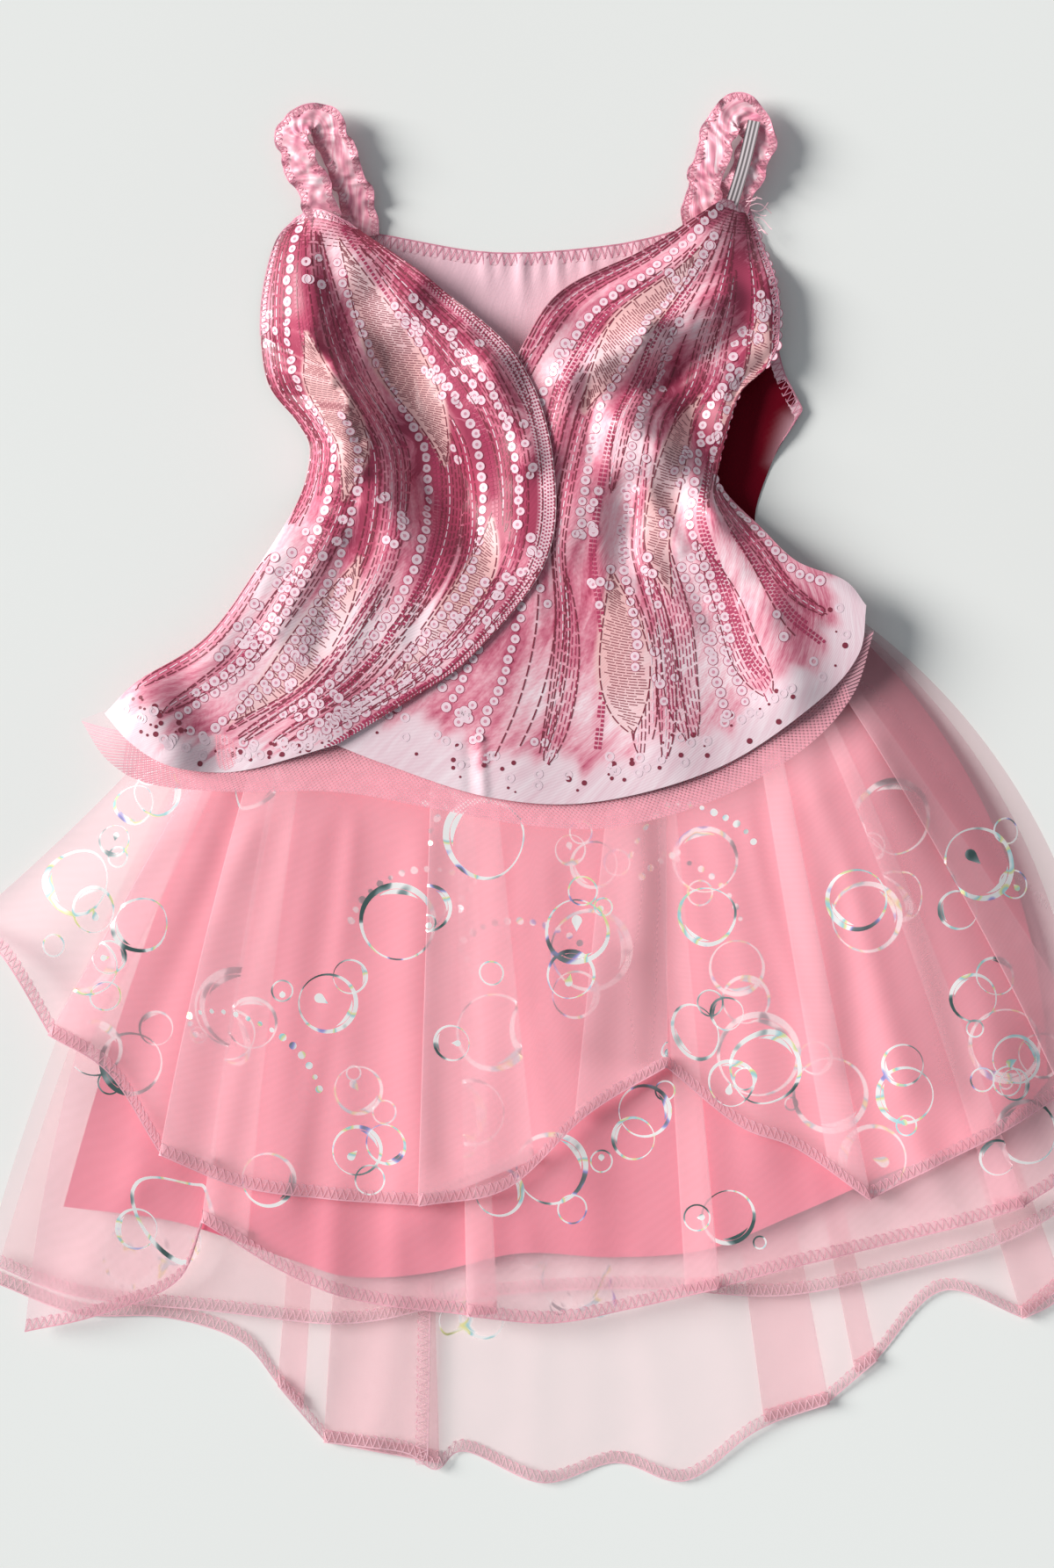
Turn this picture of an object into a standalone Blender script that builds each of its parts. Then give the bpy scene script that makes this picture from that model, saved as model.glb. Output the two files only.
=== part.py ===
# A child's costume dress laid flat on its back, face up, as it lies on a table.
# The tables are in millimetres. +Y runs to the neck, +X to the viewer's right, and the table top is z = 0.
# The back panel lies on the table, the skirt layers lie on it one above the other, and the two
# front panels, cut in one with their peplum, lie over them and puff up where the bodice is hollow.

import math

import bpy
import numpy as np

MM = 0.001

# Cloth walls and the room between them
WALL = 1.0
SEAM_GAP = 0.3
TABLE_Z = WALL / 2  # the middle of a wall that lies on the table

# Heights that one layer takes in the pile
BACK_ROOM = 1.5
PLAIN_ROOM = 1.6
LEVEL_STEP = 1.6  # from one run of a pleat to the next
PLEAT_ROOM = 2 * LEVEL_STEP + WALL + 0.5
NET_ROOM = 1.5
WRAP_ROOM = 2.1  # the wrap panel over the right front
WRAP_FADE = 30.0

# The skirts start at a waist seam that the front panels hide
WAIST_Y = 115.0
WAIST_LEFT = -115.0
WAIST_RIGHT = 126.0

# Where the layers below run out, the upper ones sink towards the table
SINK_START = 8.0
SINK_LENGTH = 110.0
SINK_LEAST = 0.5
BACK_MARGIN = 45.0
BACK_FADE = 60.0

# The bodice
SEAM_Z = WALL + SEAM_GAP + WALL / 2
PUFF = 17.0
PUFF_EDGE = 16.0
FRONT_MARGIN = 4.0
FRONT_FADE = 40.0
PEPLUM_FADE = 60.0

# Straps: a gathered band with ruffled edges over an elastic
STRAP_WIDTH = 13.0
RUFFLE_LENGTH = 7.5
RUFFLE_DEPTH = 2.0
RUFFLE_SAMPLES = 5
ELASTIC_WIDTH = 6.0

# Outlines of the bodice panels, x and y, from the strap down
SIDE_LEFT = [(-134, 209), (-118, 187), (-112, 172), (-119, 144), (-139, 110), (-164, 76), (-198, 54), (-216, 37)]
SIDE_RIGHT = [(118, 134), (137, 115), (162, 105), (173, 92)]
WRAP_ARMHOLE = [(-119, 293), (-130, 279), (-137, 245)]
WRAP_TOP = [(-119, 293), (-108, 296), (-90, 288)]
WRAP_EDGE = [(-90, 288), (-45, 256), (-4, 218), (13, 169), (10, 115), (-27, 67), (-58, 45), (-97, 21)]
WRAP_HEM = [(-216, 37), (-202, 22), (-184, 11), (-162, 7), (-139, 9), (-97, 21)]
RIGHT_TOP = [(100, 301), (114, 299)]
RIGHT_ARMHOLE = [(114, 299), (127, 259), (129, 236), (126, 220), (110, 207), (98, 175), (97, 158), (118, 134)]
RIGHT_EDGE = [(100, 301), (84, 290), (58, 274), (18, 254), (-2, 226), (-13, 200), (-25, 160), (-36, 115), (-58, 79), (-90, 47), (-112, 27)]
RIGHT_HEM = [(-112, 27), (-72, 11), (-18, -6), (36, -8), (99, 10), (148, 43), (169, 67), (173, 92)]
BACK_TOP = [(-115, 285), (-81, 285), (-18, 275), (45, 279), (92, 290), (112, 291)]
BACK_ARMHOLE_LEFT = [(-115, 285), (-127, 259), (-130, 232)]
BACK_ARMHOLE_RIGHT = [(112, 291), (127, 241), (130, 215), (142, 194), (126, 166)]
BACK_HEM = [(-216, 37), (-180, 21), (-150, 17), (-100, 24), (-60, 12), (0, 3), (90, 14), (140, 45), (165, 72), (173, 92)]

# Largest folds of the front: ridges are above 0, troughs below. Two ends, height, half width.
FRONT_FOLDS = [
    # x0, y0, x1, y1, height, half width
    (-118, 262, -92, 196, 4.0, 15),
    (-92, 196, -97, 130, 8.0, 15),
    (-97, 130, -140, 66, 5.0, 17),
    (-70, 250, -28, 205, -2.5, 16),
    (-6, 185, -6, 120, -5.5, 22),
    (58, 214, 52, 150, 5.0, 16),
    (76, 178, 78, 125, -4.0, 10),
    (95, 190, 104, 150, 3.5, 11),
]
# Folds of the peplum, above the pile of skirts
PEPLUM_FOLDS = [
    # x0, y0, x1, y1, height, half width
    (-196, 44, -180, 18, 7.5, 16),
    (-118, 80, -104, 40, 3.0, 18),
    (-20, 60, -10, 10, 1.8, 22),
    (60, 80, 72, 20, 3.0, 20),
    (120, 90, 136, 50, 2.2, 16),
]

# One row for each station of a skirt layer, along its cloth from left to right.
# kind: "plain", or the side of a fold's edge on which the upper cloth lies.
# The columns run from the waist seam to the hem; bulge bows one sideways, to the right if above 0.
STATION = ("kind", "waist_x", "hem_x", "hem_y", "bulge", "level", "tuck")
TOP_SKIRT = [
    ("plain", -115, -290, -72, 8, 0.2, 0),
    ("plain", -114, -268, -88, 6, 1.1, 0),
    ("right", -112, -244, -127, 2, 0.0, 18),
    ("plain", -110, -214, -146, 0, 0.9, 0),
    ("right", -107, -187, -188, -6, 0.0, 20),
    ("plain", -90, -148, -204, -2, 1.5, 0),
    ("plain", -72, -100, -211, 0, 0.1, 0),
    ("right", -45, -55, -214, 0, 0.0, 22),
    ("plain", -14, -10, -205, 0, 1.4, 0),
    ("plain", 26, 30, -168, 0, 1.2, 0),
    ("left", 70, 71, -143, 0, 0.0, 20),
    ("plain", 88, 108, -173, 0, 0.6, 0),
    ("plain", 98, 138, -185, 2, 1.3, 0),
    ("left", 110, 175, -211, 0, 0.0, 18),
    ("plain", 113, 208, -194, 4, 0.9, 0),
    ("plain", 116, 242, -177, 6, 0.0, 0),
    ("right", 118, 276, -158, 6, 0.0, 16),
    ("plain", 122, 292, -135, 28, 0.8, 0),
    ("plain", 126, 296, -110, 48, 0.2, 0),
]
MIDDLE_SKIRT = [
    ("plain", -115, -258, -280, -26, 0.1, 0),
    ("plain", -113, -220, -271, -14, 1.2, 0),
    ("plain", -111, -180, -254, -6, 0.2, 0),
    ("right", -106, -166, -223, -4, 0.0, 22),
    ("plain", -92, -122, -250, 0, 1.3, 0),
    ("plain", -70, -84, -264, 0, 0.2, 0),
    ("right", -38, -30, -271, 0, 0.0, 14),
    ("plain", 0, 12, -275, 0, 1.0, 0),
    ("plain", 32, 52, -268, 0, 0.0, 0),
    ("left", 64, 98, -257, 0, 0.0, 16),
    ("plain", 84, 134, -247, 0, 1.2, 0),
    ("plain", 100, 180, -236, 0, 0.1, 0),
    ("plain", 110, 222, -225, 4, 1.0, 0),
    ("left", 116, 254, -215, 8, 0.0, 14),
    ("plain", 122, 278, -198, 18, 0.5, 0),
    ("plain", 126, 288, -172, 30, 0.1, 0),
]
LINING_FRONT = [
    ("plain", -115, -238, -216, -8, 0.0, 0),
    ("plain", -106, -180, -224, -4, 0.0, 0),
    ("plain", -86, -122, -243, 0, 0.0, 0),
    ("plain", -62, -90, -252, 0, 0.0, 0),
    ("plain", -36, -50, -250, 0, 0.0, 0),
    ("plain", 0, -4, -240, 0, 0.0, 0),
    ("plain", 30, 45, -242, 0, 0.0, 0),
    ("plain", 60, 92, -238, 0, 0.0, 0),
    ("plain", 88, 138, -220, 0, 0.0, 0),
    ("plain", 108, 190, -197, 2, 0.0, 0),
    ("plain", 118, 238, -181, 8, 0.0, 0),
    ("plain", 126, 268, -152, 24, 0.0, 0),
]
LINING_BACK = [
    ("plain", -115, -234, -206, -8, 0.0, 0),
    ("plain", -86, -124, -234, 0, 0.0, 0),
    ("plain", -36, -50, -240, 0, 0.0, 0),
    ("plain", 30, 45, -232, 0, 0.0, 0),
    ("plain", 88, 140, -210, 0, 0.0, 0),
    ("plain", 126, 262, -146, 22, 0.0, 0),
]
BACK_MIDDLE = [
    ("plain", -115, -279, -244, -16, 0.0, 0),
    ("plain", -108, -232, -262, -6, 0.0, 0),
    ("plain", -92, -160, -270, 0, 0.0, 0),
    ("plain", -60, -90, -276, 0, 0.0, 0),
    ("plain", -10, -20, -262, 0, 0.0, 0),
    ("plain", 40, 60, -258, 0, 0.0, 0),
    ("plain", 80, 130, -262, 0, 0.0, 0),
    ("plain", 106, 190, -250, 0, 0.0, 0),
    ("plain", 118, 245, -234, 8, 0.0, 0),
    ("plain", 126, 284, -212, 26, 0.0, 0),
]
BACK_LONG = [
    ("plain", -115, -275, -256, -14, 0.0, 0),
    ("plain", -112, -232, -272, -6, 0.0, 0),
    ("plain", -106, -186, -274, 0, 0.0, 0),
    ("plain", -100, -148, -286, 0, 0.7, 0),
    ("right", -92, -128, -309, 0, 0.0, 12),
    ("right", -76, -104, -338, 0, 0.0, 28),
    ("plain", -52, -64, -343, 0, 0.4, 0),
    ("right", -40, -50, -352, 0, 0.0, 9),
    ("plain", -26, -32, -343, 0, 0.0, 0),
    ("plain", -4, 8, -359, 0, 0.9, 0),
    ("plain", 16, 46, -349, 0, 0.0, 0),
    ("plain", 34, 82, -358, 0, 1.1, 0),
    ("plain", 52, 118, -332, 0, 0.1, 0),
    ("left", 74, 155, -318, 0, 0.0, 16),
    ("left", 90, 180, -296, 0, 0.0, 10),
    ("plain", 104, 214, -260, 2, 0.2, 0),
    ("right", 114, 256, -274, 6, 0.0, 20),
    ("plain", 120, 274, -264, 12, 0.6, 0),
    ("plain", 126, 286, -240, 24, 0.0, 0),
]

# The net flounce shows below the peplum: its outer edge, and its inner edge hidden under the panels
NET_OUTER = [(-229, 34), (-214, 13), (-192, 1), (-150, -3), (-97, -3), (-45, -12), (0, -20), (45, -21), (96, -7), (140, 18), (168, 44), (184, 72)]
NET_INNER = [(-196, 46), (-182, 33), (-166, 27), (-138, 27), (-97, 32), (-50, 24), (-4, 14), (36, 12), (82, 27), (118, 50), (138, 66), (150, 84)]

# Paths of the straps: x, y, height of the band's middle, tilt in degrees towards standing on edge
STRAP_LEFT = [
    (-106, 297.2, 0, 8),
    (-107, 305, 9.0, 16),
    (-112, 313, 9.5, 26),
    (-119, 325, 9.0, 36),
    (-122, 335, 9.0, 62),
    (-114, 342, 9.5, 78),
    (-106, 337, 9.0, 62),
    (-102, 327, 8.0, 30),
    (-97, 315, 7.0, 18),
    (-92, 301, 4.5, 12),
    (-90, 287, 0, 4),
]
STRAP_RIGHT = [
    (110, 301.4, 0, 10),
    (114, 311, 8.0, 20),
    (122, 322, 8.5, 32),
    (124, 333, 9.0, 50),
    (120, 342, 9.0, 66),
    (110, 350, 9.5, 78),
    (102, 341, 9.0, 60),
    (98, 329, 8.0, 40),
    (92, 318, 7.0, 26),
    (91, 305, 4.5, 14),
    (91, 291.3, 0, 4),
]
ELASTIC_RIGHT = [
    (107.5, 305, 7.8, 6),
    (111, 320, 10.8, 20),
    (115, 335, 13.2, 30),
]

COLOURS = {
    # base colour, roughness
    "printed_satin": ((0.72, 0.26, 0.36), 0.45),
    "plain_satin": ((0.82, 0.38, 0.48), 0.40),
    "lining": ((0.90, 0.28, 0.36), 0.55),
    "organza": ((0.93, 0.58, 0.64), 0.50),
    "pale_organza": ((0.94, 0.76, 0.78), 0.50),
    "net": ((0.84, 0.48, 0.55), 0.70),
    "strap_satin": ((0.86, 0.42, 0.52), 0.45),
    "elastic": ((0.88, 0.84, 0.84), 0.70),
}


def ease(t):
    """0 below 0, 1 above 1, and a smooth rise between."""
    t = np.clip(t, 0.0, 1.0)
    return t * t * (3 - 2 * t)


def curve(points, count):
    """count points, evenly spaced along a smooth curve through the given ones."""
    points = np.array(points, float)
    if len(points) == 2:
        return points[0] + np.linspace(0, 1, count)[:, None] * (points[1] - points[0])
    ends = np.vstack([2 * points[0] - points[1], points, 2 * points[-1] - points[-2]])
    fine = []
    for a, b, c, d in zip(ends[:-3], ends[1:-2], ends[2:-1], ends[3:]):
        t = np.linspace(0, 1, 12, endpoint=False)[:, None]
        fine.append(b + 0.5 * t * (c - a + t * (2 * a - 5 * b + 4 * c - d + t * (3 * b - a - 3 * c + d))))
    fine = np.vstack(fine + [points[-1:]])
    along = np.concatenate([[0], np.cumsum(np.linalg.norm(np.diff(fine[:, :2], axis=0), axis=1))])
    at = np.linspace(0, along[-1], count)
    return np.stack([np.interp(at, along, fine[:, k]) for k in range(fine.shape[1])], axis=1)


def distance_to(points, line):
    """How far each point is from a line of joined straight pieces."""
    best = np.full(len(points), np.inf)
    for a, b in zip(line[:-1], line[1:]):
        run = b - a
        share = np.clip((points - a) @ run / max(run @ run, 1e-9), 0, 1)
        best = np.minimum(best, np.linalg.norm(points - a - share[:, None] * run, axis=1))
    return best


def outside(points, outline):
    """How far each point is outside a closed outline, and 0 inside it."""
    ring = np.vstack([outline, outline[:1]])
    inside = np.zeros(len(points), bool)
    for (ax, ay), (bx, by) in zip(ring[:-1], ring[1:]):
        if ay == by:
            continue
        spans = (points[:, 1] < ay) != (points[:, 1] < by)
        inside ^= spans & (points[:, 0] < (bx - ax) * (points[:, 1] - ay) / (by - ay) + ax)
    return np.where(inside, 0.0, distance_to(points, ring))


def folds_height(points, folds):
    """The summed height of soft ridges and troughs."""
    height = np.zeros(len(points))
    for x0, y0, x1, y1, high, wide in folds:
        off = distance_to(points, np.array([(x0, y0), (x1, y1)], float))
        height += high * np.exp(-((off / wide) ** 2))
    return height


def column(waist_x, hem_x, hem_y, bulge, rows):
    """Points down one column of a skirt, from the waist seam to the hem."""
    waist, hem = np.array([waist_x, WAIST_Y]), np.array([hem_x, hem_y])
    across = np.array([waist[1] - hem[1], hem[0] - waist[0]])
    across /= np.linalg.norm(across)
    t = np.linspace(0, 1, rows)[:, None]
    return waist + t * (hem - waist) + 4 * t * (1 - t) * bulge * across


def skirt_outline(stations):
    """The closed outline of a skirt layer, seen from above."""
    rows = 9
    first, last = (column(*s[1:5], rows) for s in (stations[0], stations[-1]))
    hem = np.array([(s[2], s[3]) for s in stations], float)
    return np.vstack([first, hem[1:-1], last[::-1]])


def fold_columns(station, rows):
    """The columns of one knife fold: under it, back through the tuck and over it, with round turns."""
    named = dict(zip(STATION, station))
    edge = column(named["waist_x"], named["hem_x"], named["hem_y"], named["bulge"], rows)
    open_to = np.linspace(0.3, 1.0, rows)[:, None]
    towards = 1 if named["kind"] == "right" else -1
    inner = edge + open_to * np.array([towards * named["tuck"], 0.0])
    radius = LEVEL_STEP / 2
    runs = [(edge, 0.0), (inner, 0.0)]
    for base, centre, way in ((inner, 0.5, towards), (edge, 1.5, -towards)):
        for angle in (-30, 30):
            turn = math.radians(angle)
            shift = np.array([way * radius * math.cos(turn), 0.0])
            runs.append((base + shift, centre + 0.5 * math.sin(turn)))
        if centre == 0.5:
            runs += [(inner, 1.0), (edge, 1.0)]
    runs += [(edge, 2.0), (inner, 1.9)]
    return runs if named["kind"] == "right" else runs[::-1]


def skirt_grid(stations, rows, between):
    """Plan points and pleat levels of a whole layer: a list of columns from left to right."""
    columns = []
    for number, station in enumerate(stations):
        named = dict(zip(STATION, station))
        if named["kind"] == "plain":
            here = [(column(*station[1:5], rows), named["level"])]
        else:
            here = fold_columns(station, rows)
        if number:
            (start, low), (end, high) = columns[-1], here[0]
            for step in range(1, between + 1):
                share = step / (between + 1)
                columns.append((start + share * (end - start), low + float(ease(share)) * (high - low)))
        columns += here
    return columns


def sink(points):
    """1 over the pile of skirts, less beyond it."""
    away = outside(points, skirt_outline(LINING_FRONT)) - SINK_START
    return 1 - (1 - SINK_LEAST) * ease(away / SINK_LENGTH)


def back_outline():
    sides = [curve(BACK_ARMHOLE_LEFT + SIDE_LEFT, 24)[::-1], curve(BACK_TOP, 12)]
    sides += [curve(BACK_ARMHOLE_RIGHT + SIDE_RIGHT, 16), curve(BACK_HEM, 16)[::-1]]
    return np.vstack(sides)


def over_back(points):
    """The rise of the lowest skirt layer over the back panel."""
    away = outside(points, back_outline()) - BACK_MARGIN
    return BACK_ROOM * (1 - ease(away / BACK_FADE))


def skirt(name, stations, below, material, rows=7, between=1):
    """A skirt layer with room for the layers below it. With none below, it follows the table."""
    columns = skirt_grid(stations, rows, between)
    plan = np.array([points for points, _ in columns])
    flat = plan.reshape(-1, 2)
    if below:
        height = TABLE_Z + BACK_ROOM + below * sink(flat)
    else:
        height = TABLE_Z + over_back(flat)
    levels = np.array([level for _, level in columns])
    height = height.reshape(plan.shape[:2]) + LEVEL_STEP * levels[:, None]
    return sheet(name, np.dstack([plan, height]), material)


PILE = 3 * PLEAT_ROOM + 3 * PLAIN_ROOM  # all skirt layers, under the net


def front_height(points, peplum=True):
    """The middle of the right front's wall: hollow over the body, lying on the pile of skirts below."""
    sides = np.vstack([curve(WRAP_ARMHOLE + SIDE_LEFT, 30)])
    armhole = curve(RIGHT_ARMHOLE + SIDE_RIGHT[1:], 24)
    inward = np.minimum(distance_to(points, sides), distance_to(points, armhole))
    rise = 1 - np.exp(-((inward / PUFF_EDGE) ** 1.2))
    hollow = SEAM_Z + rise * (PUFF + folds_height(points, FRONT_FOLDS))
    low = SEAM_Z + NET_ROOM + rise * 3.0
    below_waist = ease((WAIST_Y - 20 - points[:, 1]) / 50)
    hollow += below_waist * (low - hollow)
    fade = FRONT_FADE + (PEPLUM_FADE - FRONT_FADE) * below_waist
    on_skirts = 1 - ease((outside(points, skirt_outline(TOP_SKIRT)) - FRONT_MARGIN) / fade)
    pile = TABLE_Z + BACK_ROOM + PILE + NET_ROOM
    height = hollow + on_skirts * (pile - hollow)
    if peplum:
        height += ease((WAIST_Y - points[:, 1]) / 25) * folds_height(points, PEPLUM_FOLDS)
    return height


def patch(top, right, bottom, left, across, down):
    """Plan points between four edge curves, left to right and top to bottom."""
    top, bottom = curve(top, across), curve(bottom, across)
    left, right = curve(left, down), curve(right, down)
    u = np.linspace(0, 1, across)[:, None, None]
    v = np.linspace(0, 1, down)[None, :, None]
    ruled = (1 - v) * top[:, None] + v * bottom[:, None] + (1 - u) * left[None] + u * right[None]
    corners = (1 - u) * ((1 - v) * top[0] + v * bottom[0]) + u * ((1 - v) * top[-1] + v * bottom[-1])
    return ruled - corners


def with_height(plan, height_of):
    flat = plan.reshape(-1, 2)
    return np.dstack([plan, height_of(flat).reshape(plan.shape[:2])])


def sheet(name, grid, material, wall=WALL):
    """One closed cloth wall round a grid of middle points, columns from left to right."""
    along = np.gradient(grid, axis=0)
    down = np.gradient(grid, axis=1)
    normal = np.cross(down, along)
    normal /= np.linalg.norm(normal, axis=2)[..., None]
    outer, inner = grid + normal * wall / 2, grid - normal * wall / 2
    columns, rows = grid.shape[:2]
    count = columns * rows
    faces = []
    for i in range(columns - 1):
        for j in range(rows - 1):
            a, b = i * rows + j, (i + 1) * rows + j
            c, d = b + 1, a + 1
            faces += [(a, d, c), (a, c, b)]
            faces += [(a + count, c + count, d + count), (a + count, b + count, c + count)]
    rim = [i * rows for i in range(columns)]
    rim += [(columns - 1) * rows + j for j in range(1, rows)]
    rim += [i * rows + rows - 1 for i in range(columns - 2, -1, -1)]
    rim += [j for j in range(rows - 2, 0, -1)]
    for a, b in zip(rim, rim[1:] + rim[:1]):
        faces += [(a, b, b + count), (a, b + count, a + count)]
    points = np.vstack([outer.reshape(-1, 3), inner.reshape(-1, 3)])
    return add_object(name, points, faces, material)


def add_object(name, points, faces, material):
    mesh = bpy.data.meshes.new(name)
    mesh.from_pydata((points * MM).tolist(), [], faces)
    mesh.materials.append(material)
    mesh.shade_smooth()
    made = bpy.data.objects.new(name, mesh)
    bpy.context.scene.collection.objects.link(made)
    return made


def material_of(name):
    colour, roughness = COLOURS[name]
    made = bpy.data.materials.new(name)
    made.use_nodes = True
    shader = made.node_tree.nodes["Principled BSDF"]
    shader.inputs["Base Color"].default_value = (*colour, 1.0)
    shader.inputs["Roughness"].default_value = roughness
    return made


def band(name, path, width, ends_z, material, ruffle=0.0, across=4):
    """A strap along its path. The rows of height 0 are its two sewn ends, at ends_z."""
    path = [list(row) for row in path]
    path[0][2], path[-1][2] = (z or row[2] for z, row in zip(ends_z, (path[0], path[-1])))
    rough = curve(path, 60)
    length = np.linalg.norm(np.diff(rough[:, :2], axis=0), axis=1).sum()
    waves = max(1, round(length / RUFFLE_LENGTH))
    line = curve(path, waves * RUFFLE_SAMPLES + 1 if ruffle else 9)
    centre, tilt = line[:, :3], np.radians(line[:, 3])
    going = np.gradient(centre, axis=0)
    going /= np.linalg.norm(going, axis=1)[:, None]
    side = np.cross(going, [0, 0, 1.0])
    side /= np.linalg.norm(side, axis=1)[:, None]
    wide = np.cos(tilt)[:, None] * side + np.sin(tilt)[:, None] * np.array([0, 0, 1.0])
    face = np.cross(wide, going)
    phase = np.linspace(0, 2 * math.pi * waves, len(line))
    ends = ease(np.minimum(np.arange(len(line)), np.arange(len(line))[::-1]) / 6)
    grid = []
    for v in np.linspace(-1, 1, across + 1):
        swing = ruffle * np.sin(phase + 0.9 * v) * abs(v) ** 1.5 * ends
        grid.append(centre + wide * v * width / 2 + face * swing[:, None])
    return sheet(name, np.array(grid), material)


def wrap_height(points):
    """The wrap panel lies over the right front, and is level with it beyond."""
    under = np.vstack([curve(RIGHT_EDGE, 24), curve(RIGHT_HEM, 8)[1:], curve(RIGHT_TOP, 3)[::-1]])
    return front_height(points) + WRAP_ROOM * (1 - ease(outside(points, under) / WRAP_FADE))


def net_height(points):
    """The net lies on the skirts, under the peplum and its folds."""
    return front_height(points, peplum=False) - NET_ROOM


def build():
    for old in list(bpy.data.objects):
        bpy.data.objects.remove(old)
    cloth = {name: material_of(name) for name in COLOURS}

    back = patch(BACK_TOP, BACK_ARMHOLE_RIGHT + SIDE_RIGHT, BACK_HEM, BACK_ARMHOLE_LEFT + SIDE_LEFT, 18, 16)
    sheet("back_panel", with_height(back, lambda p: np.full(len(p), TABLE_Z)), cloth["plain_satin"])

    skirt("back_skirt_long", BACK_LONG, 0.0, cloth["pale_organza"])
    pile = PLEAT_ROOM
    skirt("back_skirt_middle", BACK_MIDDLE, pile, cloth["pale_organza"], rows=6)
    pile += PLAIN_ROOM
    skirt("lining_back", LINING_BACK, pile, cloth["lining"], rows=5, between=2)
    pile += PLAIN_ROOM
    skirt("lining_front", LINING_FRONT, pile, cloth["lining"])
    pile += PLAIN_ROOM
    skirt("middle_skirt_front", MIDDLE_SKIRT, pile, cloth["organza"])
    pile += PLEAT_ROOM
    skirt("top_skirt_front", TOP_SKIRT, pile, cloth["organza"])

    outer, inner = curve(NET_OUTER, 40), curve(NET_INNER, 40)
    share = np.linspace(0, 1, 4)[None, :, None]
    net = inner[:, None] + share * (outer - inner)[:, None]
    sheet("net_flounce", with_height(net, net_height), cloth["net"])

    right = patch(RIGHT_TOP, RIGHT_ARMHOLE + SIDE_RIGHT[1:], RIGHT_HEM, RIGHT_EDGE, 17, 21)
    sheet("front_right", with_height(right, front_height), cloth["printed_satin"])
    wrap = patch(WRAP_TOP, WRAP_EDGE, WRAP_HEM, WRAP_ARMHOLE + SIDE_LEFT, 15, 23)
    sheet("front_wrap", with_height(wrap, wrap_height), cloth["printed_satin"])

    for name, path in (("strap_left", STRAP_LEFT), ("strap_right", STRAP_RIGHT)):
        start = np.array([path[0][:2]], float)
        front_end = float(front_height(start)[0])
        band(name, path, STRAP_WIDTH, (front_end, 2 * TABLE_Z), cloth["strap_satin"], RUFFLE_DEPTH)
    band("strap_elastic", ELASTIC_RIGHT, ELASTIC_WIDTH, (0, 0), cloth["elastic"], across=1)


build()
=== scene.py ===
import math

import bpy
import numpy as np
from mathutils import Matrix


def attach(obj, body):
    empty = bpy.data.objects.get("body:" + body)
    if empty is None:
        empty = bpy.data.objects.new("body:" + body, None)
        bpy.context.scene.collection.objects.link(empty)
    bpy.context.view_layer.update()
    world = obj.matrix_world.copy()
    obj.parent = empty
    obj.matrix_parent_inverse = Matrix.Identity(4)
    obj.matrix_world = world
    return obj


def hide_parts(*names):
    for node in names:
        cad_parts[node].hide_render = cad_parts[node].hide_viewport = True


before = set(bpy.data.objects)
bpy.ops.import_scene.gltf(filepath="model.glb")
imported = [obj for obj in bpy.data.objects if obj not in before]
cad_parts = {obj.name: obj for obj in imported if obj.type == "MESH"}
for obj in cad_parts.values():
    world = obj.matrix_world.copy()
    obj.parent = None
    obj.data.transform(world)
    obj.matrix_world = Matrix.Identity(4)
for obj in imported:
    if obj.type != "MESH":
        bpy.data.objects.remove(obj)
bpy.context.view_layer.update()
mm = 0.001

# Tables are in millimetres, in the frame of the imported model: +Y to the neck, the table top at z = 0.

# camera, light and table
view = {
    "pixelMm": 0.45,
    "tall": 1785,  # the picture's height in those pixels
    "plane": 0.014,  # the height in metres where that scale holds
    "height": 1.7,
    "centre": (0.0, 0.001),
    "sensor": 36.0,
}
light = {
    "window": {"from": (-3.4, 0.9, 1.75), "spread": 30.0, "power": 4.7, "colour": "#FFFCF9"},  # degrees wide
    "sky": ("#EFF4FA", 0.31),
}
table = {
    "size": 8.0,  # metres
    "gap": 0.0002,  # under the dress
    "tones": [(0.3, "#ECEEEC"), (0.7, "#EFF3F1")],
}


def linear(hexText, alpha=1.0):
    values = [int(hexText[i:i + 2], 16) / 255 for i in (1, 3, 5)]
    return tuple(v / 12.92 if v <= 0.04045 else ((v + 0.055) / 1.055) ** 2.4 for v in values) + (alpha,)


def addNode(tree, kind, values=None, links=None, stops=None, **settings):  # stops are a colour ramp's
    made = tree.nodes.new("ShaderNode" + kind)
    for key, value in settings.items():
        setattr(made, key, value)
    for number, (place, colour) in enumerate(stops or ()):
        while number >= len(made.color_ramp.elements):
            made.color_ramp.elements.new(1.0)
        made.color_ramp.elements[number].position = place
        made.color_ramp.elements[number].color = linear(colour)
    for socket, value in (values or {}).items():
        made.inputs[socket].default_value = value
    for socket, source in (links or {}).items():
        tree.links.new(source, made.inputs[socket])
    return made


def feed(shader, socket, source):
    shader.id_data.links.new(source, shader.inputs[socket])


def newMaterial(name, values, flat=True):  # flat ones' textures follow the cloth in mm, the others' the object
    made = bpy.data.materials.new(name)
    made.use_nodes = True
    tree = made.node_tree
    shader = tree.nodes["Principled BSDF"]
    for socket, value in values.items():
        shader.inputs[socket].default_value = value
    if flat:
        place = addNode(tree, "UVMap", uv_map="clothMm").outputs["UV"]
    else:
        place = addNode(tree, "TexCoord").outputs["Object"]
    return made, tree, shader, place


def mottled(tree, colour, low, high, fac):  # a colour that drifts between a darker and a lighter one
    base = np.array(linear(colour)[:3])
    return addNode(tree, "Mix", {6: (*(base * low), 1), 7: (*np.minimum(base * high, 1), 1)}, {0: fac},
                   data_type="RGBA").outputs[2]


def tinted(tree, below, attribute, colour):  # goes over to a colour where the mesh attribute says so
    where = addNode(tree, "Attribute", attribute_name=attribute)
    return addNode(tree, "Mix", {7: linear(colour)}, {0: where.outputs["Fac"], 6: below},
                   data_type="RGBA").outputs[2]


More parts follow.
